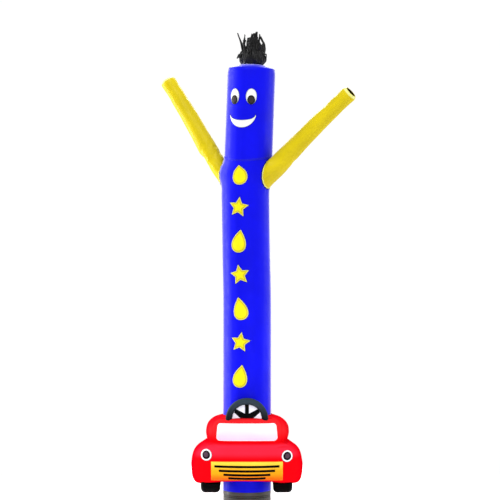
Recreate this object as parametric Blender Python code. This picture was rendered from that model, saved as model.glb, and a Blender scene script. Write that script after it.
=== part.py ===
"""Inflatable air dancer on its blower outlet, as solids. Metres, +Z up, front towards -Y.

The origin is the middle of the flat base. A turn is an angle about the tube's axis in degrees:
0 faces the front, 90 faces +X. Left means -X and right means +X.
"""

import math

import bmesh
import bpy
from mathutils import Matrix, Vector
from mathutils.bvhtree import BVHTree

# ---- cloth and clearances -------------------------------------------------------------------
CLOTH = 0.0015            # thickness of the tube's cloth
GAP = 0.0003              # clearance between pieces that touch
PATCH = 0.0010            # thickness of a sewn-on cloth piece
PATCH_LIFT = 0.0006       # clearance under such a piece on the tube
CAR_LIFT = 0.0012         # the same on the car, whose faces are fewer for their curve
LAMP_LIFT = 0.0019        # and where the car bends most: under the lamps
PANE_LIFT = 0.0022        # and under the windscreen
# Widest flat facet of a sewn-on piece, across and up: on the tube, on the car and on its corners.
TUBE_STEPS = (0.022, 1.0)
CAR_STEPS = (0.019, 0.012)
LAMP_STEPS = (0.009, 0.009)

# ---- tube and head --------------------------------------------------------------------------
TUBE_RADIUS = 0.115
TUBE_SIDES = 32
BODY_FOOT = 0.0940        # height of the tube's lower edge, on the outlet's rim
NECK_HEIGHT = 1.6850      # of the seam between body and head, at the sides
NECK_DROOP = 0.020        # how much lower that seam runs at the front and the back
DROOP_REACH = 0.090       # how far above and below the seam the cloth follows it
NECK_SHIFT = 0.0062
HEAD_LEAN = 2.1           # degrees from upright, towards +X
HEAD_TURN = -19.0         # the way the face looks
HEAD_LENGTH = 0.4235
CAP_RISE = 0.0235
CAP_ROUND = 2.5           # the dome's rise falls off with this power of the distance from its middle

LOW_SHIFT = 0.0008        # the tube's lower half stands this far to the right of the outlet
# Centre line of the body: height, sideways shift, lean in degrees.
SPINE = (
    (BODY_FOOT, LOW_SHIFT, 0.0),
    (1.000, LOW_SHIFT, 0.0),
    (1.242, -0.0040, -0.8),
    (1.453, -0.0072, -0.2),
    (1.545, -0.0070, 1.2),
    (NECK_HEIGHT, NECK_SHIFT, HEAD_LEAN),
)
# Rings of the body: height, radius where it isn't drawn out towards the arms.
BODY_ROWS = (
    (BODY_FOOT, 0.1150),
    (0.470, 0.1150),
    (0.850, 0.1150),
    (1.120, 0.1150),
    (1.300, 0.1150),
    (1.430, 0.1150),
    (1.510, 0.1150),
    (1.535, 0.1150),
    (1.558, 0.1150),
    (1.580, 0.1150),
    (1.602, 0.1150),
    (1.624, 0.1150),
    (1.644, 0.1150),
    (1.662, 0.1149),
    (1.676, 0.1142),
    (NECK_HEIGHT, 0.1128),
)
# Rings of the head: distance up its own axis, radius.
HEAD_ROWS = (
    (GAP, 0.1128),
    (0.008, 0.1146),
    (0.025, 0.1150),
    (0.095, 0.1150),
    (0.390, 0.1150),
    (0.407, 0.1144),
    (0.417, 0.1128),
    (HEAD_LENGTH, 0.1090),
)
CAP_SHARES = (1.0, 0.85, 0.62, 0.34)    # rings of the cap, as shares of its radius

# ---- shoulders and arms ---------------------------------------------------------------------
SHOULDER_OUT = 0.0178     # how far the tube is drawn out at an arm's root
SHOULDER_HEIGHT = 1.608
SHOULDER_ABOVE = 0.073    # where the bulge ends above and below that height
SHOULDER_BELOW = 0.078
SHOULDER_HALF_TURN = 82.0
ARM_SIDES = 20
FORM_FOOT = 1.40          # the body's form that trims the arms starts above this height
ARM_HIDDEN = 0.030        # how far the arm's form starts inside the tube, before it is trimmed
SEAM_REACH = 0.080        # along the arm: here it has turned from its seam's outline to round
# Arms: name, turn, half width and half height of the seam on the tube and its height, height at
# which the middle line leaves the tube, degrees from upright at the root and at the end, length.
ARMS = (
    ("arm_left", -112.0, 0.046, 0.060, 1.600, 1.603, 28.8, 34.2, 0.543),
    ("arm_right", 67.0, 0.062, 0.069, 1.607, 1.617, 44.8, 49.6, 0.542),
)
# Rings of an arm: share of its length, radius.
ARM_ROWS = (
    (0.00, 0.0485),
    (0.04, 0.0487),
    (0.09, 0.0488),
    (0.15, 0.0486),
    (0.30, 0.0466),
    (0.50, 0.0442),
    (0.70, 0.0418),
    (0.88, 0.0400),
    (0.965, 0.0388),
    (0.988, 0.0352),
    (1.00, 0.0285),
)

# ---- face -----------------------------------------------------------------------------------
EYE_HEIGHT = 0.284        # up the head's axis
EYE_OUT = 0.0422          # from the middle of the face, round the head
EYE_SIZE = (0.054, 0.077)
PUPIL_SIZE = (0.036, 0.042)
PUPIL_DROP = 0.0160
SMILE_HALF_WIDTH = 0.069
SMILE_CORNER = 0.202
SMILE_LOW = 0.135         # lowest point of the outer curve
SMILE_HIGH = 0.172        # lowest point of the inner curve
SMILE_CORNER_DEPTH = 0.009
SMILE_ROUND = 0.94        # share of a half circle that the outer curve has
SMILE_INNER = 0.94        # width of the inner curve, as a share of the outer one's

# ---- motifs down the front ------------------------------------------------------------------
MOTIF_TURN = -16.5
MOTIF_TOP = 1.605
MOTIF_PITCH = 0.160
# Motifs, from the top: form, width, height, tilt in degrees.
MOTIFS = (
    ("drop", 0.074, 0.112, 10.0),
    ("star", 0.104, 0.104, -8.0),
    ("drop", 0.074, 0.112, -10.0),
    ("star", 0.104, 0.104, 8.0),
    ("drop", 0.074, 0.112, 10.0),
    ("star", 0.104, 0.104, -8.0),
    ("drop", 0.074, 0.112, -10.0),
)
STAR_INNER = 0.50         # reach of a star's inner corners, as a share of its points' reach
DROP_FULLNESS = 0.65      # a drop of this fullness is as wide as its width says

# ---- hair -----------------------------------------------------------------------------------
ROOT_SIDES = 24
ROOT_FLUTES = 6
ROOT_FLUTE_DEPTH = 0.10   # as a share of the radius, reached at the height below
ROOT_FLUTE_HEIGHT = 0.030
ROOT_TIP = (0.001, 0.073) # shift and height of the root's top
# Rings of the gathered root: height over the cap, radius, shift towards +X.
ROOT_ROWS = (
    (0.001, 0.004, 0.002),
    (0.001, 0.020, 0.002),
    (0.001, 0.037, 0.002),
    (0.001, 0.052, 0.002),
    (0.012, 0.057, 0.003),
    (0.032, 0.060, 0.004),
    (0.052, 0.052, 0.003),
    (0.066, 0.036, 0.002),
    (0.071, 0.016, 0.001),
)
STRIP_SIZE = 0.0030       # thickness of a strip
STRIP_STEPS = 6
# Strips: turn that the face of the strip looks, width at root and at tip, then the middle line's
# root, knee and tip as across (+X), forward (-Y) and up from the middle of the cap's top.
STRIPS = (
    (0, 0.058, 0.052, (0.001, 0.004, 0.036), (0.000, 0.006, 0.091), (-0.002, 0.004, 0.131)),
    (0, 0.044, 0.032, (0.008, -0.006, 0.040), (0.008, -0.008, 0.098), (0.008, -0.004, 0.156)),
    (20, 0.017, 0.006, (-0.038, 0.006, 0.046), (-0.050, 0.010, 0.085), (-0.070, 0.012, 0.145)),
    (-30, 0.012, 0.005, (-0.035, 0.024, 0.048), (-0.039, 0.034, 0.096), (-0.039, 0.036, 0.138)),
    (-10, 0.014, 0.006, (0.030, -0.004, 0.048), (0.031, -0.004, 0.098), (0.032, -0.008, 0.148)),
    (60, 0.034, 0.014, (0.046, -0.016, 0.026), (0.057, -0.018, 0.086), (0.038, -0.020, 0.138)),
    (-60, 0.060, 0.020, (-0.030, 0.016, 0.030), (-0.052, 0.022, 0.046), (-0.070, 0.024, 0.022)),
    (-120, 0.030, 0.020, (-0.026, -0.026, 0.050), (-0.040, -0.038, 0.095), (-0.034, -0.042, 0.128)),
    (165, 0.040, 0.026, (-0.006, -0.030, 0.050), (-0.008, -0.044, 0.095), (-0.004, -0.042, 0.140)),
    (140, 0.026, 0.012, (0.032, -0.036, 0.044), (0.044, -0.050, 0.080), (0.054, -0.052, 0.112)),
    (35, 0.030, 0.014, (0.026, 0.028, 0.048), (0.036, 0.044, 0.078), (0.046, 0.050, 0.094)),
    (-15, 0.026, 0.012, (-0.010, 0.036, 0.046), (-0.014, 0.052, 0.066), (-0.018, 0.064, 0.048)),
    (180, 0.034, 0.016, (-0.020, -0.046, 0.034), (-0.024, -0.064, 0.050), (-0.028, -0.074, 0.026)),
    (95, 0.030, 0.014, (0.050, 0.006, 0.030), (0.066, 0.008, 0.050), (0.068, 0.010, 0.024)),
)

# ---- car ------------------------------------------------------------------------------------
CAR_SIDES = 48
CHANNEL = 0.1157          # radius of the opening that the tube stands in
# Rings of the car, from the lower edge of that opening, outside and over the roof, and back to
# it: height, half width, reach to the front, reach to the back, squareness, shift to the right.
CAR_ROWS = (
    (0.158, CHANNEL, CHANNEL, CHANNEL, 2.0, LOW_SHIFT),
    (0.151, 0.138, 0.134, 0.128, 2.2, 0.0),
    (0.148, 0.190, 0.168, 0.138, 2.9, 0.0),
    (0.149, 0.235, 0.196, 0.154, 3.6, 0.0),
    (0.155, 0.2480, 0.2130, 0.165, 4.1, 0.0),
    (0.164, 0.2540, 0.2245, 0.171, 4.3, 0.0),
    (0.178, 0.2590, 0.2340, 0.177, 4.4, 0.0),
    (0.198, 0.2622, 0.2405, 0.182, 4.5, 0.0),
    (0.224, 0.2640, 0.2448, 0.185, 4.5, 0.0),
    (0.256, 0.2605, 0.2455, 0.185, 4.4, -0.0005),
    (0.284, 0.2510, 0.2400, 0.181, 4.3, -0.0015),
    (0.308, 0.2315, 0.2265, 0.171, 4.1, -0.0020),
    (0.326, 0.2090, 0.2095, 0.160, 3.9, -0.0005),
    (0.339, 0.1968, 0.1985, 0.154, 3.8, 0.0010),
    (0.350, 0.1965, 0.1970, 0.152, 3.8, 0.0030),
    (0.375, 0.2005, 0.2000, 0.154, 3.7, 0.0035),
    (0.400, 0.1965, 0.1985, 0.152, 3.5, 0.0020),
    (0.421, 0.1845, 0.1910, 0.147, 3.3, 0.0005),
    (0.439, 0.1660, 0.1770, 0.139, 3.0, -0.0010),
    (0.4505, 0.1445, 0.1600, 0.131, 2.6, -0.0005),
    (0.4562, 0.1300, 0.1430, 0.124, 2.2, 0.0),
    (0.4578, 0.1205, 0.1270, 0.119, 2.0, 0.0),
    (0.4540, CHANNEL, CHANNEL, CHANNEL, 2.0, LOW_SHIFT),
)
CAR_SAG = 0.019           # how much lower the car hangs at this distance across than in its middle
CAR_SAG_ACROSS = 0.264
CAR_SAG_FULL = 0.150      # the sag is full below this height
CAR_SAG_END = 0.200       # and it ends at this one
WINDSCREEN_TOP = 0.4275
WINDSCREEN_FOOT = 0.3465
WINDSCREEN_HALF_TOP = 0.1380
WINDSCREEN_HALF_FOOT = 0.1450
WINDSCREEN_CORNER = 0.017
# Headlights: side, place across, height.
LAMPS = (("left", -0.1892, 0.2842), ("right", 0.1872, 0.2784))
LAMP_RADIUS = 0.0262
LENS_RADIUS = 0.0180
GRILLE_TOP = 0.2550
GRILLE_FOOT = 0.1660
GRILLE_HALF_WIDTH = 0.1672
BAR_DEPTH = 0.0092
BAR_SAG = 0.0030
# Grille bars, from the top: height of the middle, half length.
GRILLE_BARS = ((0.2340, 0.1510), (0.2135, 0.1305), (0.1950, 0.1090), (0.1785, 0.0870))
TYRE_RADIUS = 0.075
TYRE_HALF_WIDTH = 0.0455
TYRE_SIDES = 24
TYRE_OUT = (-0.1717, 0.1683)
TYRE_FOOT = 0.097
# Share of the half width, share of the radius.
TYRE_ROWS = ((1.0, 0.78), (0.90, 0.92), (0.64, 0.985), (0.0, 1.0))
TYRE_AXLES = (("front", -0.125), ("rear", 0.075))

# ---- steering wheel -------------------------------------------------------------------------
STEERING_RADIUS = 0.0853  # to the middle of the stuffed ring
STEERING_TUBE = 0.0157
STEERING_PLACE = (0.0, -0.154, 0.4445)
STEERING_SIDES = 12
STEERING_SPREAD = 6.0     # degrees that the half ring goes on below its middle, before trimming
PANEL_CLOTH = 0.0020
SPOKE_WIDTH = 0.0165
SPOKE_ANGLES = (27.0, 90.0, 153.0)
HUB_RISE = 0.012          # the hub's height over the middle of the ring
HUB_FOOT = 0.020          # how far the hub's foot goes down, before it is trimmed by the car
HUB_HALF_WIDTH = 0.0149

# ---- blower outlet --------------------------------------------------------------------------
# Outline from the middle of the base, up the outside, over the neck and down the inside:
# radius, height.
DRUM_OUTLINE = (
    (0.1120, 0.0000),
    (0.1138, 0.0018),
    (0.1138, BODY_FOOT - 0.0215),
    (0.1122, BODY_FOOT - 0.0205),
    (0.1122, BODY_FOOT - 0.0188),
    (0.1146, BODY_FOOT - 0.0178),
    (0.1146, BODY_FOOT - 0.0016),
    (0.1138, BODY_FOOT - GAP),
    (0.1122, BODY_FOOT - GAP),
    (0.1122, 0.1480),
    (0.1112, 0.1500),
    (0.1098, 0.1500),
    (0.1090, 0.1480),
    (0.1090, 0.0040),
)

# ---- colours and finish: red, green, blue, roughness ----------------------------------------
FINISHES = {
    "blue_cloth": (0.012, 0.010, 0.780, 0.55),
    "yellow_cloth": (0.820, 0.690, 0.010, 0.55),
    "black_cloth": (0.025, 0.025, 0.027, 0.60),
    "white_cloth": (0.900, 0.900, 0.900, 0.55),
    "red_cloth": (0.900, 0.005, 0.015, 0.50),
    "orange_cloth": (0.950, 0.450, 0.030, 0.55),
    "grey_plastic": (0.140, 0.140, 0.135, 0.45),
}


# ---- helpers --------------------------------------------------------------------------------
def clear_scene():
    for old in list(bpy.data.objects):
        bpy.data.objects.remove(old, do_unlink=True)


def finish(name):
    """The material of this name, made on first use."""
    material = bpy.data.materials.get(name)
    if material:
        return material
    red, green, blue, roughness = FINISHES[name]
    material = bpy.data.materials.new(name)
    material.use_nodes = True
    shader = material.node_tree.nodes["Principled BSDF"]
    shader.inputs["Base Color"].default_value = (red, green, blue, 1.0)
    shader.inputs["Roughness"].default_value = roughness
    shader.inputs["Metallic"].default_value = 0.0
    material.diffuse_color = (red, green, blue, 1.0)
    return material


def add_object(name, shape, finish_name):
    """A named object from a bmesh, which is freed."""
    mesh = bpy.data.meshes.new(name)
    shape.to_mesh(mesh)
    shape.free()
    mesh.materials.append(finish(finish_name))
    mesh.shade_smooth()
    mesh.set_sharp_from_angle(angle=math.radians(40))
    thing = bpy.data.objects.new(name, mesh)
    bpy.context.scene.collection.objects.link(thing)
    return thing


def add_helper(name, shape):
    """A cutter or a piece to be joined: it stays out of the render."""
    helper = add_object(name, shape, "grey_plastic")
    helper.hide_render = True
    helper.display_type = "WIRE"
    return helper


def combine(target, helper, operation):
    step = target.modifiers.new(helper.name, "BOOLEAN")
    step.operation = operation
    step.object = helper
    step.solver = "EXACT"


def loft(rings, cap_ends=True, closed=False):
    """A bmesh through rings of equal length, in triangles: a cutter then has its piece's facets."""
    shape = bmesh.new()
    loops = [[shape.verts.new(point) for point in ring] for ring in rings]
    pairs = list(zip(loops, loops[1:]))
    if closed:
        pairs.append((loops[-1], loops[0]))
    for low, high in pairs:
        count = len(low)
        for i in range(count):
            j = (i + 1) % count
            shape.faces.new((low[i], low[j], high[j]))
            shape.faces.new((low[i], high[j], high[i]))
    if cap_ends and not closed:
        shape.faces.new(list(reversed(loops[0])))
        shape.faces.new(loops[-1])
    bmesh.ops.recalc_face_normals(shape, faces=shape.faces)
    return shape


def dome_loft(rings, tip):
    """As loft, closed below by a flat face and above by a fan to the tip."""
    shape = loft(rings, cap_ends=False)
    shape.verts.ensure_lookup_table()
    count = len(rings[0])
    first = shape.verts[:count]
    last = shape.verts[-count:]
    top = shape.verts.new(tip)
    for i in range(count):
        shape.faces.new((last[i], last[(i + 1) % count], top))
    shape.faces.new(list(reversed(first)))
    bmesh.ops.recalc_face_normals(shape, faces=shape.faces)
    return shape


def read_table(table, key):
    """The other columns of a table at this value of its first, along smooth curves."""
    keys = [row[0] for row in table]
    key = min(max(key, keys[0]), keys[-1])
    i = max(k for k in range(len(keys) - 1) if keys[k] <= key)
    span = keys[i + 1] - keys[i]
    t = (key - keys[i]) / span

    def slope(k, column):
        before, after = max(k - 1, 0), min(k + 1, len(keys) - 1)
        return (table[after][column] - table[before][column]) / (keys[after] - keys[before])

    values = []
    for column in range(1, len(table[0])):
        a, b = table[i][column], table[i + 1][column]
        rise = b - a
        start, end = slope(i, column) * span, slope(i + 1, column) * span
        square, cube = 3 * rise - 2 * start - end, start + end - 2 * rise
        values.append(a + start * t + square * t**2 + cube * t**3)
    return values


def bump(offset, half_width):
    """1 at the middle, falling smoothly to 0 at the half width and beyond."""
    share = min(abs(offset) / half_width, 1.0)
    return 0.5 + 0.5 * math.cos(math.pi * share)


def around(sides):
    return [360.0 * k / sides for k in range(sides)]


def outward(turn):
    """The level direction that a turn faces."""
    angle = math.radians(turn)
    return Vector((math.sin(angle), -math.cos(angle), 0.0))


# ---- surfaces of the body and the head ------------------------------------------------------
def leaned(centre, lean, offset):
    """A point at this offset from the centre, in a frame that leans towards +X."""
    return centre + Matrix.Rotation(math.radians(lean), 3, "Y") @ offset


def shoulder(turn, height):
    """How far the tube is drawn out there towards the arms."""
    reach = SHOULDER_ABOVE if height > SHOULDER_HEIGHT else SHOULDER_BELOW
    level = bump(height - SHOULDER_HEIGHT, reach)
    sides = sum(bump((turn - arm[1] + 180) % 360 - 180, SHOULDER_HALF_TURN) for arm in ARMS)
    return SHOULDER_OUT * level * sides


def droop(turn, away):
    """How far the cloth lies lower there, this far above or below the neck's seam."""
    return NECK_DROOP * math.cos(math.radians(turn - HEAD_TURN)) ** 2 * bump(away, DROOP_REACH)


def body_point(turn, height, lift=0.0):
    shift, lean = read_table(SPINE, height)
    (radius,) = read_table(BODY_ROWS, height)
    radius += shoulder(turn, height) + lift
    drawn_down = Vector((0.0, 0.0, droop(turn, NECK_HEIGHT - height)))
    return leaned(Vector((shift, 0.0, height)), lean, outward(turn) * radius) - drawn_down


def body_ring(height, lift):
    return [body_point(turn, height, lift) for turn in around(TUBE_SIDES)]


def head_point(turn, up, lift=0.0):
    (radius,) = read_table(HEAD_ROWS, up)
    offset = outward(turn) * (radius + lift) + Vector((0.0, 0.0, up - droop(turn, up)))
    return leaned(Vector((NECK_SHIFT, 0.0, NECK_HEIGHT)), HEAD_LEAN, offset)


def head_ring(up, lift):
    return [head_point(turn, up, lift) for turn in around(TUBE_SIDES)]


def head_axis_point(across, forward, up):
    """A point set out from the middle of the cap's top."""
    offset = Vector((across, -forward, HEAD_LENGTH + GAP + CAP_RISE + up))
    return leaned(Vector((NECK_SHIFT, 0.0, NECK_HEIGHT)), HEAD_LEAN, offset)


# ---- tubes ----------------------------------------------------------------------------------
def add_shell(name, outer, inner, finish_name):
    """A tube with a wall, from its outer and its inner rings."""
    return add_object(name, loft(outer + inner[::-1], closed=True), finish_name)


def add_body():
    heights = [row[0] for row in BODY_ROWS]
    outer = [body_ring(height, 0.0) for height in heights]
    inner = [body_ring(height, -CLOTH) for height in heights]
    return add_shell("body_tube", outer, inner, "blue_cloth")


def body_cutter():
    """The body with no hollow, a hair larger: what lies in it is trimmed from an arm."""
    heights = [row[0] for row in BODY_ROWS if row[0] > FORM_FOOT]
    return add_helper("body_form", loft([body_ring(height, GAP) for height in heights]))


def add_head():
    ups = [row[0] for row in HEAD_ROWS]
    outer = [head_ring(up, 0.0) for up in ups]
    inner = [head_ring(up, -CLOTH) for up in ups]
    return add_shell("head_tube", outer, inner, "blue_cloth")


def dome_drop(radius):
    """How far the cap lies below its own top at this radius."""
    return CAP_RISE * (radius / HEAD_ROWS[-1][1]) ** CAP_ROUND


def cap_ring(share, drop):
    radius = share * HEAD_ROWS[-1][1]
    points = []
    for turn in around(TUBE_SIDES):
        level = outward(turn) * radius
        points.append(head_axis_point(level.x, -level.y, -dome_drop(radius) - drop))
    return points


def add_cap():
    """A dome of cloth whose lower face is a cloth's thickness inside the upper one."""
    upper = [cap_ring(share, 0.0) for share in CAP_SHARES]
    rim = HEAD_ROWS[-1][1]
    lower = [cap_ring(1.0 - CLOTH / rim, CAP_RISE - dome_drop(rim - CLOTH))]
    lower += [cap_ring(share, CLOTH) for share in CAP_SHARES[1:]]
    shape = loft(lower[::-1] + upper, cap_ends=False)
    shape.verts.ensure_lookup_table()
    inner_top = shape.verts[:TUBE_SIDES]
    outer_top = shape.verts[-TUBE_SIDES:]
    low_tip = shape.verts.new(head_axis_point(0.0, 0.0, -CLOTH))
    high_tip = shape.verts.new(head_axis_point(0.0, 0.0, 0.0))
    for i in range(TUBE_SIDES):
        j = (i + 1) % TUBE_SIDES
        shape.faces.new((inner_top[i], inner_top[j], low_tip))
        shape.faces.new((outer_top[i], outer_top[j], high_tip))
    bmesh.ops.recalc_face_normals(shape, faces=shape.faces)
    return add_object("head_cap", shape, "blue_cloth")


# ---- arms -----------------------------------------------------------------------------------
def arm_point(arm, along):
    """A point on the arm's middle line and the line's direction there."""
    turn, height, lean_root, lean_end, length = arm[1], *arm[5:]
    level = outward(turn)
    place = body_point(turn, height)
    steps = 16
    share = along / length
    for k in range(steps):
        middle = share * (k + 0.5) / steps
        lean = math.radians(lean_root + (lean_end - lean_root) * middle)
        place = place + (level * math.sin(lean) + Vector((0, 0, math.cos(lean)))) * (along / steps)
    lean = math.radians(lean_root + (lean_end - lean_root) * share)
    return place, level * math.sin(lean) + Vector((0, 0, math.cos(lean)))


def seam_ring(arm, less, lift):
    """The outline of the arm's seam on the body, this much smaller and off the body."""
    _, turn, half_width, half_height, height = arm[:5]
    points = []
    for angle in map(math.radians, around(ARM_SIDES)):
        across = (half_width - less) * math.cos(angle) / TUBE_RADIUS
        up = (half_height - less) * math.sin(angle)
        points.append(body_point(turn + math.degrees(across), height - up, lift))
    return points


def arm_ring(arm, along, radius, less):
    """A ring of the arm: near the body it still has some of the seam's outline."""
    place, direction = arm_point(arm, along)
    side = outward(arm[1] + 90.0)
    top = side.cross(direction)
    seam = seam_ring(arm, less, 0.0)
    rounded = 1.0 - bump(along, SEAM_REACH)
    points = []
    for start, angle in zip(seam, map(math.radians, around(ARM_SIDES))):
        full = place + (side * math.cos(angle) + top * math.sin(angle)) * (radius - less)
        points.append((start + direction * along).lerp(full, rounded))
    return points


def arm_rings(arm, less):
    rings = [seam_ring(arm, less, -ARM_HIDDEN)]
    return rings + [arm_ring(arm, share * arm[-1], radius, less) for share, radius in ARM_ROWS]


def add_arm(arm, body, body_form):
    """The sleeve, trimmed at the shoulder, and its hole in the body's wall."""
    sleeve = add_shell(arm[0], arm_rings(arm, 0.0), arm_rings(arm, CLOTH), "yellow_cloth")
    combine(sleeve, body_form, "DIFFERENCE")
    hole = loft([seam_ring(arm, 2 * CLOTH, lift) for lift in (-ARM_HIDDEN, ARM_HIDDEN)])
    combine(body, add_helper(arm[0] + "_hole", hole), "DIFFERENCE")


# ---- sewn-on pieces -------------------------------------------------------------------------
def add_patch(name, outline, place, finish_name, lift=PATCH_LIFT, steps=TUBE_STEPS):
    """A flat-cut piece, laid on a surface by place(across, up, lift)."""
    flat = bmesh.new()
    flat.faces.new([flat.verts.new((across, up, 0.0)) for across, up in outline])
    for axis, normal in enumerate((Vector((1, 0, 0)), Vector((0, 1, 0)))):
        low = min(point[axis] for point in outline)
        high = max(point[axis] for point in outline)
        count = max(1, math.ceil((high - low) / steps[axis]))
        for k in range(1, count):
            line = normal * (low + (high - low) * k / count)
            everything = flat.verts[:] + flat.edges[:] + flat.faces[:]
            bmesh.ops.bisect_plane(flat, geom=everything, plane_co=line, plane_no=normal, dist=1e-5)
    bmesh.ops.triangulate(flat, faces=flat.faces[:])
    flat.verts.index_update()
    shape = bmesh.new()
    low = [shape.verts.new(place(v.co.x, v.co.y, lift)) for v in flat.verts]
    high = [shape.verts.new(place(v.co.x, v.co.y, lift + PATCH)) for v in flat.verts]
    for face in flat.faces:
        corners = [v.index for v in face.verts]
        shape.faces.new([high[i] for i in corners])
        shape.faces.new([low[i] for i in reversed(corners)])
    for edge in flat.edges:
        if len(edge.link_faces) == 1:
            i, j = (v.index for v in edge.verts)
            shape.faces.new((low[i], low[j], high[j], high[i]))
    flat.free()
    bmesh.ops.recalc_face_normals(shape, faces=shape.faces)
    return add_object(name, shape, finish_name)


def oval(width, height, points=22):
    angles = [math.radians(angle) for angle in around(points)]
    return [(0.5 * width * math.cos(a), 0.5 * height * math.sin(a)) for a in angles]


def moved(outline, across, up):
    return [(x + across, y + up) for x, y in outline]


def tilted(outline, degrees):
    c, s = math.cos(math.radians(degrees)), math.sin(math.radians(degrees))
    return [(x * c - y * s, x * s + y * c) for x, y in outline]


def drop_outline(width, height, points=20):
    """A drop with its point up."""
    outline = []
    for angle in map(math.radians, around(points)):
        across = DROP_FULLNESS * width * math.sin(angle) * math.sin(0.5 * angle)
        outline.append((across, 0.5 * height * math.cos(angle)))
    return outline


def star_outline(width, height):
    outline = []
    for k in range(10):
        reach = 0.5 if k % 2 == 0 else 0.5 * STAR_INNER
        angle = math.radians(36.0 * k)
        outline.append((-reach * width * math.sin(angle), reach * height * math.cos(angle)))
    return outline


def crescent_outline(points=11):
    """The smile: an outer curve from corner to corner, and an inner one back."""
    outer, inner = [], []
    for k in range(points):
        share = 2.0 * k / (points - 1) - 1.0
        across = SMILE_HALF_WIDTH * math.sin(0.5 * math.pi * share)
        bend = 1.0 - math.sqrt(1.0 - SMILE_ROUND * (across / SMILE_HALF_WIDTH) ** 2)
        bend /= 1.0 - math.sqrt(1.0 - SMILE_ROUND)
        low_corner = SMILE_CORNER - SMILE_CORNER_DEPTH
        outer.append((across, SMILE_LOW + (low_corner - SMILE_LOW) * bend))
        inner.append((SMILE_INNER * across, SMILE_HIGH + (SMILE_CORNER - SMILE_HIGH) * share**2))
    return outer + inner[::-1]


def on_head(across, up, lift):
    return head_point(HEAD_TURN + math.degrees(across / TUBE_RADIUS), up, lift)


def on_body(across, up, lift):
    return body_point(MOTIF_TURN + math.degrees(across / TUBE_RADIUS), up, lift)


def add_face():
    on_top = 2 * PATCH_LIFT + PATCH
    for side, sign in (("left", -1), ("right", 1)):
        across = sign * EYE_OUT
        white = moved(oval(*EYE_SIZE), across, EYE_HEIGHT)
        add_patch("eye_white_" + side, white, on_head, "white_cloth")
        pupil = moved(oval(*PUPIL_SIZE, points=18), across, EYE_HEIGHT - PUPIL_DROP)
        add_patch("pupil_" + side, pupil, on_head, "black_cloth", lift=on_top)
    add_patch("smile", crescent_outline(), on_head, "white_cloth")


def add_motifs():
    outlines = {"drop": drop_outline, "star": star_outline}
    for k, (form, width, height, tilt) in enumerate(MOTIFS):
        outline = tilted(outlines[form](width, height), tilt)
        outline = moved(outline, 0.0, MOTIF_TOP - k * MOTIF_PITCH)
        add_patch(f"{form}_{k + 1}", outline, on_body, "yellow_cloth")


# ---- hair -----------------------------------------------------------------------------------
def root_ring(up, radius, shift):
    points = []
    for turn in around(ROOT_SIDES):
        depth = ROOT_FLUTE_DEPTH * min(1.0, up / ROOT_FLUTE_HEIGHT)
        flute = 1.0 + depth * math.cos(math.radians(turn * ROOT_FLUTES))
        level = outward(turn) * radius * flute + Vector((shift, 0.0, 0.0))
        points.append(head_axis_point(level.x, -level.y, up - dome_drop(level.length)))
    return points


def strip_shape(facing, width_root, width_tip, root, knee, tip):
    """A flat strip along a smooth curve through root, knee and tip."""
    root, knee, tip = (head_axis_point(*point) for point in (root, knee, tip))
    control = 2.0 * knee - 0.5 * (root + tip)
    side = outward(facing + 90.0)
    rings = []
    for k in range(STRIP_STEPS + 1):
        t = k / STRIP_STEPS
        place = root * (1 - t) ** 2 + control * 2 * t * (1 - t) + tip * t**2
        along = (control - root) * (1 - t) + (tip - control) * t
        across = side * 0.5 * (width_root + (width_tip - width_root) * t)
        through = side.cross(along).normalized() * 0.5 * STRIP_SIZE
        rings.append([place - across - through, place + across - through,
                      place + across + through, place - across + through])
    return loft(rings)


def add_hair():
    """The strips, fused at their roots into the gathered cloth on the cap."""
    rings = [root_ring(*row) for row in ROOT_ROWS]
    tip = head_axis_point(ROOT_TIP[0], 0.0, ROOT_TIP[1])
    hair = add_object("hair", dome_loft(rings, tip), "black_cloth")
    for k, strip in enumerate(STRIPS):
        combine(hair, add_helper(f"strip_{k + 1}", strip_shape(*strip)), "UNION")


# ---- car ------------------------------------------------------------------------------------
def car_ring(row, grow=0.0, rise=0.0):
    """A level ring of the car, whose lower corners hang. It may be a little larger than the car."""
    height, half_width, front, back, squareness, shift = row
    hang = min(max((CAR_SAG_END - height) / (CAR_SAG_END - CAR_SAG_FULL), 0.0), 1.0)
    points = []
    for turn in around(CAR_SIDES):
        level = outward(turn)
        depth = back if level.y > 0 else front
        total = abs(level.x / half_width) ** squareness + abs(level.y / depth) ** squareness
        place = level * (total ** (-1.0 / squareness) + grow)
        sag = CAR_SAG * hang * (place.x / CAR_SAG_ACROSS) ** 2
        points.append(place + Vector((shift, 0.0, height + rise - sag)))
    return points


def add_car():
    shape = loft([car_ring(row) for row in CAR_ROWS], closed=True)
    return add_object("car_body", shape, "red_cloth")


def car_cutter():
    """The car with no opening, a hair larger: it trims what is sewn to the car."""
    rings = [car_ring(row, GAP, -GAP if row[0] < CAR_SAG_END else GAP) for row in CAR_ROWS[1:-1]]
    return add_helper("car_form", loft(rings))


def front_of(car, reach=0.006):
    """The function that lays a piece on the car's front face: across, up, lift to a point.

    The slope of the face is taken over the reach to either side.
    """
    mesh = car.data
    corners = [vertex.co for vertex in mesh.vertices]
    skin = BVHTree.FromPolygons(corners, [face.vertices for face in mesh.polygons])

    def meet(across, up):
        return skin.ray_cast(Vector((across, -1.0, up)), Vector((0.0, 1.0, 0.0)))[0]

    def place(across, up, lift):
        level = meet(across + reach, up) - meet(across - reach, up)
        rising = meet(across, up + reach) - meet(across, up - reach)
        return meet(across, up) + level.cross(rising).normalized() * lift

    return place


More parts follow.
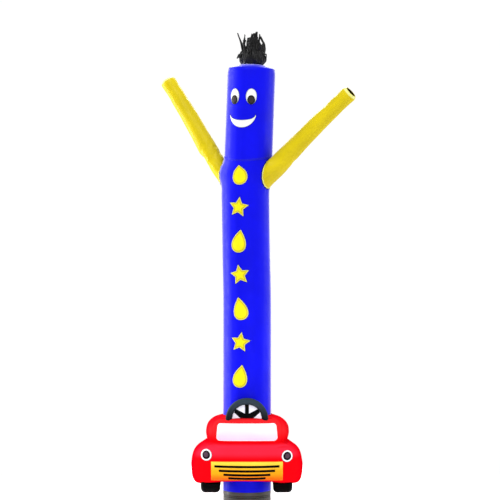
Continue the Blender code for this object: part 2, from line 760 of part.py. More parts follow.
def rounded_corners(corners, radius, steps=4):
    """The outline with each corner turned on an arc. The corners run anticlockwise."""
    outline = []
    for k, corner in enumerate(corners):
        here = Vector(corner)
        before = (Vector(corners[k - 1]) - here).normalized()
        after = (Vector(corners[(k + 1) % len(corners)]) - here).normalized()
        half = 0.5 * before.angle(after)
        middle = here + (before + after).normalized() * (radius / math.sin(half))
        start = here + before * (radius / math.tan(half)) - middle
        sweep = math.pi - 2.0 * half
        for i in range(steps + 1):
            arm = start.copy()
            arm.rotate(Matrix.Rotation(sweep * i / steps, 2))
            outline.append(tuple(middle + arm))
    return outline


def bar_outline(height, half_length, steps=8):
    """A strip that sags a little in the middle, with chamfered ends."""
    lower, upper = [], []
    for k in range(steps + 1):
        share = 2.0 * k / steps - 1.0
        middle = height - BAR_SAG * (1.0 - share**2)
        lower.append((share * half_length, middle - 0.5 * BAR_DEPTH))
        upper.append((share * half_length, middle + 0.5 * BAR_DEPTH))
    return lower + upper[::-1]


def add_car_front(car):
    """The pieces sewn on the car's front. Layer 1 lies on layer 0."""
    on_car = front_of(car)

    def sew(name, outline, finish_name, layer=0, lift=CAR_LIFT, steps=CAR_STEPS):
        lift += layer * (PATCH + PATCH_LIFT)
        add_patch(name, outline, on_car, finish_name, lift, steps)

    pane = (
        (-WINDSCREEN_HALF_FOOT, WINDSCREEN_FOOT),
        (WINDSCREEN_HALF_FOOT, WINDSCREEN_FOOT),
        (WINDSCREEN_HALF_TOP, WINDSCREEN_TOP),
        (-WINDSCREEN_HALF_TOP, WINDSCREEN_TOP),
    )
    sew("windscreen", rounded_corners(pane, WINDSCREEN_CORNER), "white_cloth", 0, PANE_LIFT)
    panel = (
        (-GRILLE_HALF_WIDTH, GRILLE_FOOT),
        (GRILLE_HALF_WIDTH, GRILLE_FOOT),
        (GRILLE_HALF_WIDTH, GRILLE_TOP),
        (-GRILLE_HALF_WIDTH, GRILLE_TOP),
    )
    sew("grille_panel", panel, "orange_cloth")
    for k, bar in enumerate(GRILLE_BARS):
        sew(f"grille_bar_{k + 1}", bar_outline(*bar), "black_cloth", 1)
    for side, across, height in LAMPS:
        rim = moved(oval(2 * LAMP_RADIUS, 2 * LAMP_RADIUS, 18), across, height)
        sew("headlight_rim_" + side, rim, "white_cloth", 0, LAMP_LIFT, LAMP_STEPS)
        lens = moved(oval(2 * LENS_RADIUS, 2 * LENS_RADIUS, 14), across, height)
        sew("headlight_lens_" + side, lens, "black_cloth", 1, LAMP_LIFT, LAMP_STEPS)


def add_tyres(car_form):
    half = [(-width, radius) for width, radius in TYRE_ROWS]
    profile = half + [(width, radius) for width, radius in TYRE_ROWS[-2::-1]]
    for end, axle in TYRE_AXLES:
        for side, out in zip(("left", "right"), TYRE_OUT):
            centre = Vector((out, axle, TYRE_FOOT + TYRE_RADIUS))
            rings = []
            for width, radius in profile:
                ring = []
                for angle in map(math.radians, around(TYRE_SIDES)):
                    round_it = Vector((0.0, math.cos(angle), math.sin(angle))) * radius * TYRE_RADIUS
                    ring.append(centre + Vector((width * TYRE_HALF_WIDTH, 0.0, 0.0)) + round_it)
                rings.append(ring)
            tyre = add_object(f"tyre_{end}_{side}", loft(rings), "black_cloth")
            combine(tyre, car_form, "DIFFERENCE")


# ---- steering wheel -------------------------------------------------------------------------
def add_steering_ring(car_form):
    centre = Vector(STEERING_PLACE)
    rings = []
    steps = 22
    for k in range(steps + 1):
        angle = math.radians(-STEERING_SPREAD + (180.0 + 2 * STEERING_SPREAD) * k / steps)
        reach = Vector((math.cos(angle), 0.0, math.sin(angle)))
        ring = []
        for around_it in map(math.radians, around(STEERING_SIDES)):
            out = STEERING_RADIUS + STEERING_TUBE * math.cos(around_it)
            ring.append(centre + reach * out + Vector((0.0, STEERING_TUBE * math.sin(around_it), 0.0)))
        rings.append(ring)
    ring = add_object("steering_ring", loft(rings), "black_cloth")
    combine(ring, car_form, "DIFFERENCE")


def upright_sheet(outline, front, thickness):
    """A flat sheet that faces the front, from its outline across and up."""
    back_ring = [Vector((x, front + thickness, z)) for x, z in outline]
    front_ring = [Vector((x, front, z)) for x, z in outline]
    return loft([back_ring, front_ring])


def to_circle(start, along, radius):
    """How far a line from this start runs before it meets the circle round the origin."""
    inward = start.dot(along)
    return math.sqrt(inward**2 - start.length_squared + radius**2) - inward


def spokes_outline(radius):
    """Three spokes from a hub to a circle of this radius, and a foot that goes down to the car."""
    half = 0.5 * SPOKE_WIDTH
    hub = Vector((0.0, HUB_RISE))
    outline = [(-HUB_HALF_WIDTH, -HUB_FOOT), (HUB_HALF_WIDTH, -HUB_FOOT)]
    angles = [math.radians(angle) for angle in SPOKE_ANGLES]
    for k, angle in enumerate(angles):
        along = Vector((math.cos(angle), math.sin(angle)))
        side = Vector((along.y, -along.x))
        length = min(to_circle(hub + side * out, along, radius) for out in (-half, half))
        outline.append(tuple(along * length + side * half))
        outline.append(tuple(along * length - side * half))
        if k + 1 < len(angles):
            middle = 0.5 * (angle + angles[k + 1])
            valley = half / math.sin(0.5 * (angles[k + 1] - angle))
            outline.append((valley * math.cos(middle), valley * math.sin(middle)))
    return moved(outline, 0.0, HUB_RISE)


def add_steering_wheel(car_form):
    add_steering_ring(car_form)
    x, y, z = STEERING_PLACE
    reach = STEERING_RADIUS - STEERING_TUBE - 2 * GAP
    low = math.radians(STEERING_SPREAD)
    arc = []
    steps = 20
    for k in range(steps + 1):
        angle = -low + (math.pi + 2 * low) * k / steps
        arc.append((x + reach * math.cos(angle), z + reach * math.sin(angle)))
    panel_front = y - 0.5 * PANEL_CLOTH
    panel = add_object("steering_panel", upright_sheet(arc, panel_front, PANEL_CLOTH), "white_cloth")
    combine(panel, car_form, "DIFFERENCE")
    spokes = moved(spokes_outline(reach), x, z)
    spokes_front = panel_front - GAP - PANEL_CLOTH
    strips = upright_sheet(spokes, spokes_front, PANEL_CLOTH)
    combine(add_object("steering_spokes", strips, "black_cloth"), car_form, "DIFFERENCE")


# ---- blower outlet --------------------------------------------------------------------------
def add_drum():
    rings = []
    for radius, height in DRUM_OUTLINE:
        rings.append([outward(turn) * radius + Vector((0, 0, height)) for turn in around(TUBE_SIDES)])
    return add_object("blower_drum", loft(rings), "grey_plastic")


def main():
    clear_scene()
    add_drum()
    body = add_body()
    body_form = body_cutter()
    add_head()
    add_cap()
    for arm in ARMS:
        add_arm(arm, body, body_form)
    add_face()
    add_motifs()
    add_hair()
    car = add_car()
    car_form = car_cutter()
    add_car_front(car)
    add_tyres(car_form)
    add_steering_wheel(car_form)


main()
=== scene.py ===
"""Looks of the inflatable air dancer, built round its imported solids. Metres, +Z up, front to -Y.

A turn is an angle about the tube's axis in degrees: 0 faces the front, 90 faces +X. UV
coordinates are in metres of cloth, so that weave and seams have their real size everywhere.
"""
import math
import random
from bisect import bisect_right
from collections import namedtuple
from functools import partial

import bmesh
import bpy
from mathutils import Matrix, Vector, noise
from mathutils.bvhtree import BVHTree


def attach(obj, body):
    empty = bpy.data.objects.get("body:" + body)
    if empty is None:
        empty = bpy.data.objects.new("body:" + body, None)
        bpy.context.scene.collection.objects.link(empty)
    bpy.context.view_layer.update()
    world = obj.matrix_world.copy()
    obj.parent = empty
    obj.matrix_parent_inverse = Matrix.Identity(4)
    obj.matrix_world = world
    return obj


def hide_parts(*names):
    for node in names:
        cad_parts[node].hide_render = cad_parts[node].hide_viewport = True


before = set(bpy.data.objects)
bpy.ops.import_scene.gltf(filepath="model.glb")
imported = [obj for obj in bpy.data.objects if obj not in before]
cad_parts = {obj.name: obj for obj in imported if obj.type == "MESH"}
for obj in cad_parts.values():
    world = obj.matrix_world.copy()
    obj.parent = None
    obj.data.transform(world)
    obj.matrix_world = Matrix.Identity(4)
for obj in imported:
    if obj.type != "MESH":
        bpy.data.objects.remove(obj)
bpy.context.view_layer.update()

# ---- the photograph's view: its scale at the tube's axis, its side and its camera
METRES_PER_PIXEL = 0.00479
PHOTO_SIDE = 500
CAMERA_PLACE = (0.0144, -9.0, 1.242)
SENSOR = 36.0

# ---- tube and head, as in the solids
TUBE_RADIUS = 0.115
TUBE_GIRTH = 2 * math.pi * TUBE_RADIUS
BODY_FOOT = 0.094
NECK_HEIGHT = 1.685
NECK_DROOP = 0.020
DROOP_REACH = 0.090
NECK_SHIFT = 0.0062
HEAD_LEAN = 2.1
HEAD_TURN = -19.0
HEAD_LENGTH = 0.4235
HEAD_START = 0.0003
RIM_RADIUS = 0.109
CAP_RISE = 0.0235
CAP_ROUND = 2.5
LOW_SHIFT = 0.0008
# height, shift across and lean
SPINE = ((BODY_FOOT, LOW_SHIFT, 0.0), (1.0, LOW_SHIFT, 0.0), (1.242, -0.0040, -0.8),
         (1.453, -0.0072, -0.2), (1.545, -0.0070, 1.2), (NECK_HEIGHT, NECK_SHIFT, HEAD_LEAN))
# height and radius
BODY_ROWS = ((BODY_FOOT, 0.115), (1.300, 0.115), (1.602, 0.115), (1.644, 0.115), (1.662, 0.1149),
             (1.676, 0.1142), (NECK_HEIGHT, 0.1128))
HEAD_ROWS = ((HEAD_START, 0.1128), (0.008, 0.1146), (0.025, 0.115), (0.095, 0.115), (0.390, 0.115),
             (0.407, 0.1144), (0.417, 0.1128), (HEAD_LENGTH, RIM_RADIUS))

# ---- shoulders and arms, as in the solids
SHOULDER_OUT = 0.0178
SHOULDER_HEIGHT = 1.608
SHOULDER_ABOVE = 0.073
SHOULDER_BELOW = 0.078
SHOULDER_HALF_TURN = 82.0
SEAM_REACH = 0.080
# The seam on the tube is an oval. tuck is how far the sleeve's underside is drawn in, in the scene only.
Arm = namedtuple("Arm", ("name", "turn", "half_width", "half_height", "seam_height", "root_height",
                         "lean_root", "lean_end", "length", "tuck"))
ARMS = (
    Arm("arm_left", -112.0, 0.046, 0.060, 1.600, 1.603, 28.8, 34.2, 0.543, 0.015),
    Arm("arm_right", 67.0, 0.062, 0.069, 1.607, 1.617, 44.8, 49.6, 0.542, 0.003),
)
# share of the length and radius
ARM_ROWS = ((0.0, 0.0485), (0.04, 0.0487), (0.09, 0.0488), (0.15, 0.0486), (0.30, 0.0466), (0.50, 0.0442),
            (0.70, 0.0418), (0.88, 0.0400), (0.965, 0.0388), (0.988, 0.0352), (1.0, 0.0285))

# ---- cloth
CLOTH = 0.0012            # thickness that the tube's cloth shows at a cut edge
TUBE_COLUMNS = 144
TUBE_STEP = 0.0075        # height of a row of faces on the tube
HEAD_STEP = 0.006
CAP_ROWS = 24
ARM_COLUMNS = 72
ARM_STEP = 0.0055
ARM_BENDS = 16            # straight parts that an arm's middle line is added up from
SLEEVE_GIRTH = 2 * math.pi * 0.0465
SLEEVE_HEM = 0.011
HEM_STEP = 0.0015
SLEEVE_TURNED_IN = 0.006  # cloth of the sleeve behind its seam
SLEEVE_HELD = 0.1365      # how far from the tube's axis the seam holds a sleeve
SLEEVE_END_HELD = 0.060   # how far from its far end's middle the hem holds it
SLEEVE_SLACK = 0.0036     # how much slimmer the outer sleeve is before its cloth swells
TUCK_PLACE = 0.080        # along the sleeve
PATCH = 0.0010
PATCH_LIFT = 0.0006
AIR_STEPS = 20            # frames that a cloth simulation runs for
THREAD = 0.0006           # pitch of the weave's threads
RIPSTOP = 0.0065          # pitch of the thicker threads of ripstop cloth

# ---- seams: cross sections of their bands as offset and lift, and their stitches
NECK_BAND = ((-0.0050, 0.0001), (-0.0042, 0.0009), (-0.0015, 0.0012), (0.0015, 0.0012), (0.0042, 0.0009),
             (0.0050, 0.0001))
CAP_BAND = ((-0.0040, 0.0001), (-0.0034, 0.0008), (-0.0012, 0.0012), (0.0010, 0.0012), (0.0030, 0.0008),
            (0.0036, 0.0001))
BACK_BAND = ((-0.0062, 0.0001), (-0.0056, 0.0008), (-0.0020, 0.0012), (0.0020, 0.0012), (0.0056, 0.0008),
             (0.0062, 0.0001))
BACK_STEPS = 160
# The navy band round an arm's seam, a painted shade along the seam line.
SEAM_SHADE_BAND = ((0.0050, 0.0002), (0.0045, 0.0008), (0.0025, 0.0011), (0.0005, 0.0008), (-0.0005, 0.0002))
SEAM_STEPS = 96
PIPING = ((0.0008, 0.0002), (0.0014, 0.0012), (0.0010, 0.0030), (-0.0002, 0.0040), (-0.0020, 0.0036),
          (-0.0034, 0.0010))
STITCH_SIDES = 5
STITCH_PITCH = 0.0042
STITCH_FILLED = 0.68      # share of the pitch that shows thread
STITCH_FORM = ((0.0, 0.25), (0.2, 0.9), (0.5, 1.0), (0.8, 0.9), (1.0, 0.25))
STITCH_INSET = 0.003

# ---- face and motifs, as in the solids
EYE_HEIGHT = 0.284
EYE_OUT = 0.0422
EYE_SIZE = (0.054, 0.077)
PUPIL_SIZE = (0.036, 0.042)
PUPIL_DROP = 0.016
SMILE_HALF_WIDTH = 0.069
SMILE_CORNER = 0.202
SMILE_LOW = 0.135
SMILE_HIGH = 0.172
SMILE_CORNER_DEPTH = 0.009
SMILE_ROUND = 0.94
SMILE_INNER = 0.94
SMILE_LEVELS = (0.0, 0.0, 0.04, 0.09, 0.17, 0.3, 0.5, 0.7, 0.83, 0.91, 0.96, 1.0, 1.0)
MOTIF_TURN = -16.5
MOTIF_TOP = 1.605
MOTIF_PITCH = 0.160
MOTIF_SIZES = {"drop": (0.074, 0.112), "star": (0.104, 0.104)}
MOTIF_TILTS = {"drop_1": 10.0, "star_2": -8.0, "drop_3": -10.0, "star_4": 8.0, "drop_5": 10.0,
               "star_6": -8.0, "drop_7": -10.0}
STAR_INNER = 0.50
DROP_FULLNESS = 0.65
EDGE_SHARES = (1.0, 0.985, 0.965, 0.94, 0.91, 0.87, 0.82, 0.75, 0.66, 0.56, 0.45, 0.34, 0.23, 0.12)

# ---- car, as in the solids: height, half width, front, back, squareness, shift
CHANNEL = 0.1157
CAR_ROWS = (
    (0.158, CHANNEL, CHANNEL, CHANNEL, 2.0, LOW_SHIFT),
    (0.151, 0.138, 0.134, 0.128, 2.2, 0.0),
    (0.148, 0.190, 0.168, 0.138, 2.9, 0.0),
    (0.149, 0.235, 0.196, 0.154, 3.6, 0.0),
    (0.155, 0.248, 0.213, 0.165, 4.1, 0.0),
    (0.164, 0.254, 0.2245, 0.171, 4.3, 0.0),
    (0.178, 0.259, 0.234, 0.177, 4.4, 0.0),
    (0.198, 0.2622, 0.2405, 0.182, 4.5, 0.0),
    (0.224, 0.264, 0.2448, 0.185, 4.5, 0.0),
    (0.256, 0.2605, 0.2455, 0.185, 4.4, -0.0005),
    (0.284, 0.251, 0.240, 0.181, 4.3, -0.0015),
    (0.308, 0.2315, 0.2265, 0.171, 4.1, -0.002),
    (0.326, 0.209, 0.2095, 0.160, 3.9, -0.0005),
    (0.339, 0.1968, 0.1985, 0.154, 3.8, 0.001),
    (0.350, 0.1965, 0.197, 0.152, 3.8, 0.003),
    (0.375, 0.2005, 0.200, 0.154, 3.7, 0.0035),
    (0.400, 0.1965, 0.1985, 0.152, 3.5, 0.002),
    (0.421, 0.1845, 0.191, 0.147, 3.3, 0.0005),
    (0.439, 0.166, 0.177, 0.139, 3.0, -0.001),
    (0.4505, 0.1445, 0.160, 0.131, 2.6, -0.0005),
    (0.4562, 0.130, 0.143, 0.124, 2.2, 0.0),
    (0.4578, 0.1205, 0.127, 0.119, 2.0, 0.0),
    (0.454, CHANNEL, CHANNEL, CHANNEL, 2.0, LOW_SHIFT),
)
CAR_SAG = 0.019
CAR_SAG_ACROSS = 0.264
CAR_SAG_FULL = 0.150
CAR_SAG_END = 0.200
CAR_SLACK = 0.0030        # how much smaller the car is before its cloth swells
CAR_COLUMNS = 216
CAR_FINER = 6             # rows of faces between two rows of the table above
CHANNEL_ROWS = 12
CAR_GIRTH = 1.45
COWL = 0.340              # height of the crease between cabin and bonnet
WINDSCREEN_TOP = 0.4275
WINDSCREEN_FOOT = 0.3465
WINDSCREEN_HALF_TOP = 0.138
WINDSCREEN_HALF_FOOT = 0.145
WINDSCREEN_CORNER = 0.017
LAMPS = (("left", -0.1892, 0.2842), ("right", 0.1872, 0.2784))
LAMP_RADIUS = 0.0262
LENS_RADIUS = 0.018
GRILLE_TOP = 0.255
GRILLE_FOOT = 0.166
GRILLE_HALF_WIDTH = 0.1672
PANEL_SHARES = (1.0, 0.99, 0.98, 0.965, 0.945, 0.92, 0.88, 0.83, 0.77, 0.7, 0.62, 0.54, 0.46, 0.38,
                0.3, 0.22, 0.14, 0.07)
BAR_DEPTH = 0.0104        # 1.2 mm more than in the solids
BAR_SAG = 0.003
BAR_LIFT = 0.0018
BAR_LEVELS = (0.0, 0.0, 0.12, 0.3, 0.5, 0.7, 0.88, 1.0, 1.0)
GRILLE_BARS = ((0.2340, 0.1510), (0.2135, 0.1305), (0.1950, 0.1090), (0.1785, 0.0870))
HOOD_FOOT = 0.296         # the band of painted highlight on the hood, a paler red
HOOD_TOP = 0.322
TYRE_RADIUS = 0.075
TYRE_HALF_WIDTH = 0.0455
TYRE_OUT = (-0.1717, 0.1683)
TYRE_FOOT = 0.097
TYRE_AXLES = (("front", -0.125), ("rear", 0.075))
TYRE_COLUMNS = 96
TYRE_TREADS = 24
TYRE_CORNER = 0.021       # round of the tread's edge, larger than in the solids
TYRE_CORNER_STEPS = 14

# ---- steering wheel, as in the solids, with spokes 2.3 mm wider
STEERING_RADIUS = 0.0853
STEERING_TUBE = 0.0157
STEERING_PLACE = (0.0, -0.154, 0.4445)
STEERING_SPREAD = 6.0
STEERING_STEPS = 120
STEERING_SIDES = 32
SPOKE_WIDTH = 0.0188
SPOKE_ANGLES = (27.0, 90.0, 153.0)
HUB_RISE = 0.012
HUB_FOOT = 0.020
HUB_HALF_WIDTH = 0.0149

# ---- outlet: heights of the grooves under its rim, half their width, and its wall from its floor's
# ---- middle, outside and in again, as radius and height
DRUM_GROOVES = (BODY_FOOT - 0.0275, BODY_FOOT - 0.0200)
GROOVE_HALF = 0.0016
DRUM_COLUMNS = 160
DRUM_GIRTH = 2 * math.pi * 0.114
DRUM_WALL = [(0.001, 0.0), (0.1105, 0.0), (0.1130, 0.001), (0.1138, 0.003), (0.1138, 0.018),
             (0.1131, 0.019), (0.1131, 0.020), (0.1138, 0.021)]
for groove in DRUM_GROOVES:
    DRUM_WALL += [(0.1138, groove - 0.002), (0.1120, groove - GROOVE_HALF),
                  (0.1120, groove + GROOVE_HALF), (0.1138, groove + 0.002)]
DRUM_WALL += [(0.1146, BODY_FOOT - 0.0170), (0.1146, BODY_FOOT - 0.0024), (0.1140, BODY_FOOT - 0.0008),
              (0.1122, BODY_FOOT - 0.0003), (0.1122, 0.1478), (0.1112, 0.150), (0.1098, 0.150),
              (0.1090, 0.148), (0.1090, 0.004), (0.001, 0.004)]

# ---- hair: facing turn, width at root and tip, then root, knee and tip as across, forward, up
STRIPS = (
    (0, 0.058, 0.052, (0.001, 0.004, 0.036), (0.000, 0.006, 0.091), (-0.002, 0.004, 0.131)),
    (0, 0.044, 0.032, (0.008, -0.006, 0.040), (0.008, -0.008, 0.098), (0.008, -0.004, 0.156)),
    (20, 0.017, 0.006, (-0.038, 0.006, 0.046), (-0.050, 0.010, 0.085), (-0.070, 0.012, 0.145)),
    (-30, 0.012, 0.005, (-0.035, 0.024, 0.048), (-0.039, 0.034, 0.096), (-0.039, 0.036, 0.138)),
    (-10, 0.014, 0.006, (0.030, -0.004, 0.048), (0.031, -0.004, 0.098), (0.032, -0.008, 0.148)),
    (60, 0.034, 0.014, (0.046, -0.016, 0.026), (0.057, -0.018, 0.086), (0.038, -0.020, 0.138)),
    (-60, 0.060, 0.020, (-0.030, 0.016, 0.030), (-0.052, 0.022, 0.046), (-0.070, 0.024, 0.022)),
    (-120, 0.030, 0.020, (-0.026, -0.026, 0.050), (-0.040, -0.038, 0.095), (-0.034, -0.042, 0.128)),
    (165, 0.040, 0.026, (-0.006, -0.030, 0.050), (-0.008, -0.044, 0.095), (-0.004, -0.042, 0.140)),
    (140, 0.026, 0.012, (0.032, -0.036, 0.044), (0.044, -0.050, 0.080), (0.054, -0.052, 0.112)),
    (35, 0.030, 0.014, (0.026, 0.028, 0.048), (0.036, 0.044, 0.078), (0.046, 0.050, 0.094)),
    (-15, 0.026, 0.012, (-0.010, 0.036, 0.046), (-0.014, 0.052, 0.066), (-0.018, 0.064, 0.048)),
    (180, 0.034, 0.016, (-0.020, -0.046, 0.034), (-0.024, -0.064, 0.050), (-0.028, -0.074, 0.026)),
    (95, 0.030, 0.014, (0.050, 0.006, 0.030), (0.066, 0.008, 0.050), (0.068, 0.010, 0.024)),
)
# height, radius and shift of the gathered root
ROOT_ROWS = ((0.001, 0.004, 0.002), (0.001, 0.037, 0.002), (0.001, 0.052, 0.002), (0.012, 0.057, 0.003),
             (0.032, 0.060, 0.004), (0.052, 0.052, 0.003), (0.066, 0.036, 0.002), (0.071, 0.016, 0.001),
             (0.072, 0.003, 0.001))
ROOT_FINER = 8
GATHER_GIRTH = 0.36
GATHER_ROW = 0.012        # cloth from one row of the table to the next
RIBBON_CLOTH = 0.0005
RIBBON_WIDTH = 0.016
RIBBON_ROWS = 22
RIBBON_COLUMNS = 4
GATHER_COLUMNS = 120
GATHER_RIBBONS = 24
GATHER_PATH = ((0.051, 0.003), (0.061, 0.030), (0.053, 0.056), (0.034, 0.074))
GATHER_TIP_HEIGHT = (0.085, 0.118)
GATHER_TIP_RADIUS = (0.016, 0.046)
GATHER_ROOT_WIDTH = (0.016, 0.022)
GATHER_TIP_WIDTH = (0.008, 0.014)
GATHER_SLANT = 0.012

# ---- colours that several finishes share (red, green, blue)
NAVY = (0.003, 0.003, 0.075)
PALE_YELLOW = (0.860, 0.840, 0.260)
WHITE = (0.900, 0.900, 0.910)
RED = (0.900, 0.002, 0.006)
HOOD_PAINTED_HIGHLIGHT = (0.930, 0.021, 0.054)
GREY = (0.058, 0.060, 0.056)

# ---- studio: brightness of its light and of its walls, and soft boxes as name, place, what they
# ---- face, size and watts
SKY_LIGHT = 0.52
SKY_SEEN = 1.02
FLOOR_RADIUS = 1.9
SOFT_BOXES = (
    ("overhead", (-0.5, -3.2, 5.6), (0.0, 0.0, 1.0), (3.4, 2.0), 180.0),
    ("left_edge", (-3.4, 1.2, 1.6), (0.0, 0.0, 1.2), (1.0, 3.6), 185.0),
    ("right_edge", (3.6, 0.8, 1.6), (0.0, 0.0, 1.2), (0.8, 3.2), 50.0),
    ("back_top", (0.0, 3.0, 4.1), (0.0, 0.0, 2.0), (3.0, 2.0), 210.0),
    ("low_front", (0.8, -3.6, 0.45), (0.0, 0.0, 0.15), (2.4, 0.6), 26.0),
)


# ---- materials
class Finish:
    """A material, with short calls for its nodes."""

    def __init__(self, name, roughness=0.5, specular=0.5, sheen=0.0):
        self.material = bpy.data.materials.new(name)
        self.material.use_nodes = True
        self.tree = self.material.node_tree
        self.shader = self.tree.nodes["Principled BSDF"]
        for socket, value in (("Roughness", roughness), ("Specular IOR Level", specular),
                              ("Sheen Weight", sheen), ("Sheen Roughness", 0.3)):
            self.use(socket, value)

    def connect(self, socket, value):
        if isinstance(value, bpy.types.NodeSocket):
            self.tree.links.new(value, socket)
        else:
            socket.default_value = (*value, 1.0) if socket.type == "RGBA" else value

    def use(self, socket, value):
        self.connect(self.shader.inputs[socket], value)

    def node(self, kind, inputs, output=0, **settings):
        """An output of a new node, whose sockets get these values and links."""
        made = self.tree.nodes.new("ShaderNode" + kind)
        for key, value in settings.items():
            setattr(made, key, value)
        for key, value in inputs.items():
            self.connect(made.inputs[key], value)
        return made.outputs[output]

    def math(self, operation, first, second=0.0):
        return self.node("Math", {0: first, 1: second}, operation=operation)

    def mix(self, share, first, second):
        """The first colour where the share is 0, and the second where it is 1."""
        return self.node("Mix", {0: share, 6: first, 7: second}, output=2, data_type="RGBA")

    def ramp(self, value, low, high, to_low=0.0, to_high=1.0):
        """A smooth rise between two limits."""
        inputs = dict(enumerate((value, low, high, to_low, to_high)))
        return self.node("MapRange", inputs, interpolation_type="SMOOTHSTEP")

    def noise(self, scale, detail=2.0):
        place = self.node("TexCoord", {}, output="Object")
        return self.node("TexNoise", {"Vector": place, "Scale": scale, "Detail": detail})

    def axis(self, kind, axis):
        """One axis of a place: of "Object" in metres of space, or of "UV" in metres of cloth."""
        return self.node("SeparateXYZ", {0: self.node("TexCoord", {}, output=kind)}, output=axis)

    def bump(self, height, distance, **below):
        return self.node("Bump", {"Height": height, "Distance": distance, **below})


def weave(finish):
    """Height of a plain weave, and of the thicker threads that form a fine grid in it."""
    waves, thick = [], []
    for side in (finish.axis("UV", "X"), finish.axis("UV", "Y")):
        waves.append(finish.math("SINE", finish.math("MULTIPLY", side, 2 * math.pi / THREAD)))
        away = finish.math("PINGPONG", finish.math("DIVIDE", side, RIPSTOP), 0.5)
        thick.append(finish.ramp(away, 0.0, 0.08, 1.0, 0.0))
    return finish.math("MULTIPLY", *waves), finish.math("MAXIMUM", *thick)


def cloth(name, colour, specular=0.22, sheen=0.05, creases=0.0008, bands=(), rim=None):
    """Coated nylon: woven threads, a faint ripstop grid, slow changes of tone, small creases.

    A list of heights and colours changes the colour with height: print on the windscreen and grille,
    painted highlight and shade on the red padding and the steering ring. A band is (width, colour,
    softness) at the cut edge of a sewn-on piece, the widest first. The cloth turns to the rim colour
    where it is seen at a slant, a painted shade.
    """
    finish = Finish(name, specular=specular, sheen=sheen)
    plain, thick = weave(finish)
    if isinstance(colour, list):
        stops, colour = colour, colour[0][1]
        height = finish.axis("Object", "Z")
        for (low, _), (high, upper) in zip(stops, stops[1:]):
            colour = finish.mix(finish.ramp(height, low, high), colour, upper)
    for width, other, softness in bands:
        edge = finish.node("Attribute", {}, output="Fac", attribute_name="edge")
        colour = finish.mix(finish.ramp(edge, width - softness, width), other, colour)
    # Painted shade: the colour turns to the rim colour where the cloth is seen at a slant.
    if rim:
        slant = finish.node("LayerWeight", {"Blend": 0.5}, output="Facing")
        colour = finish.mix(finish.ramp(slant, 0.35, 1.0), colour, rim)
    tone = finish.ramp(finish.noise(7.0, 3.0), 0.3, 0.7, 0.90, 1.03)
    tone = finish.math("ADD", tone, finish.math("MULTIPLY", thick, 0.03))
    finish.use("Base Color", finish.node("HueSaturation", {"Color": colour, "Value": tone}))
    finish.use("Roughness", finish.ramp(finish.noise(38.0, 4.0), 0.3, 0.7, 0.38, 0.55))
    folds = finish.bump(finish.noise(24.0, 3.0), creases)
    finish.use("Normal", finish.bump(finish.math("ADD", plain, thick), 0.00002, Normal=folds))
    return finish


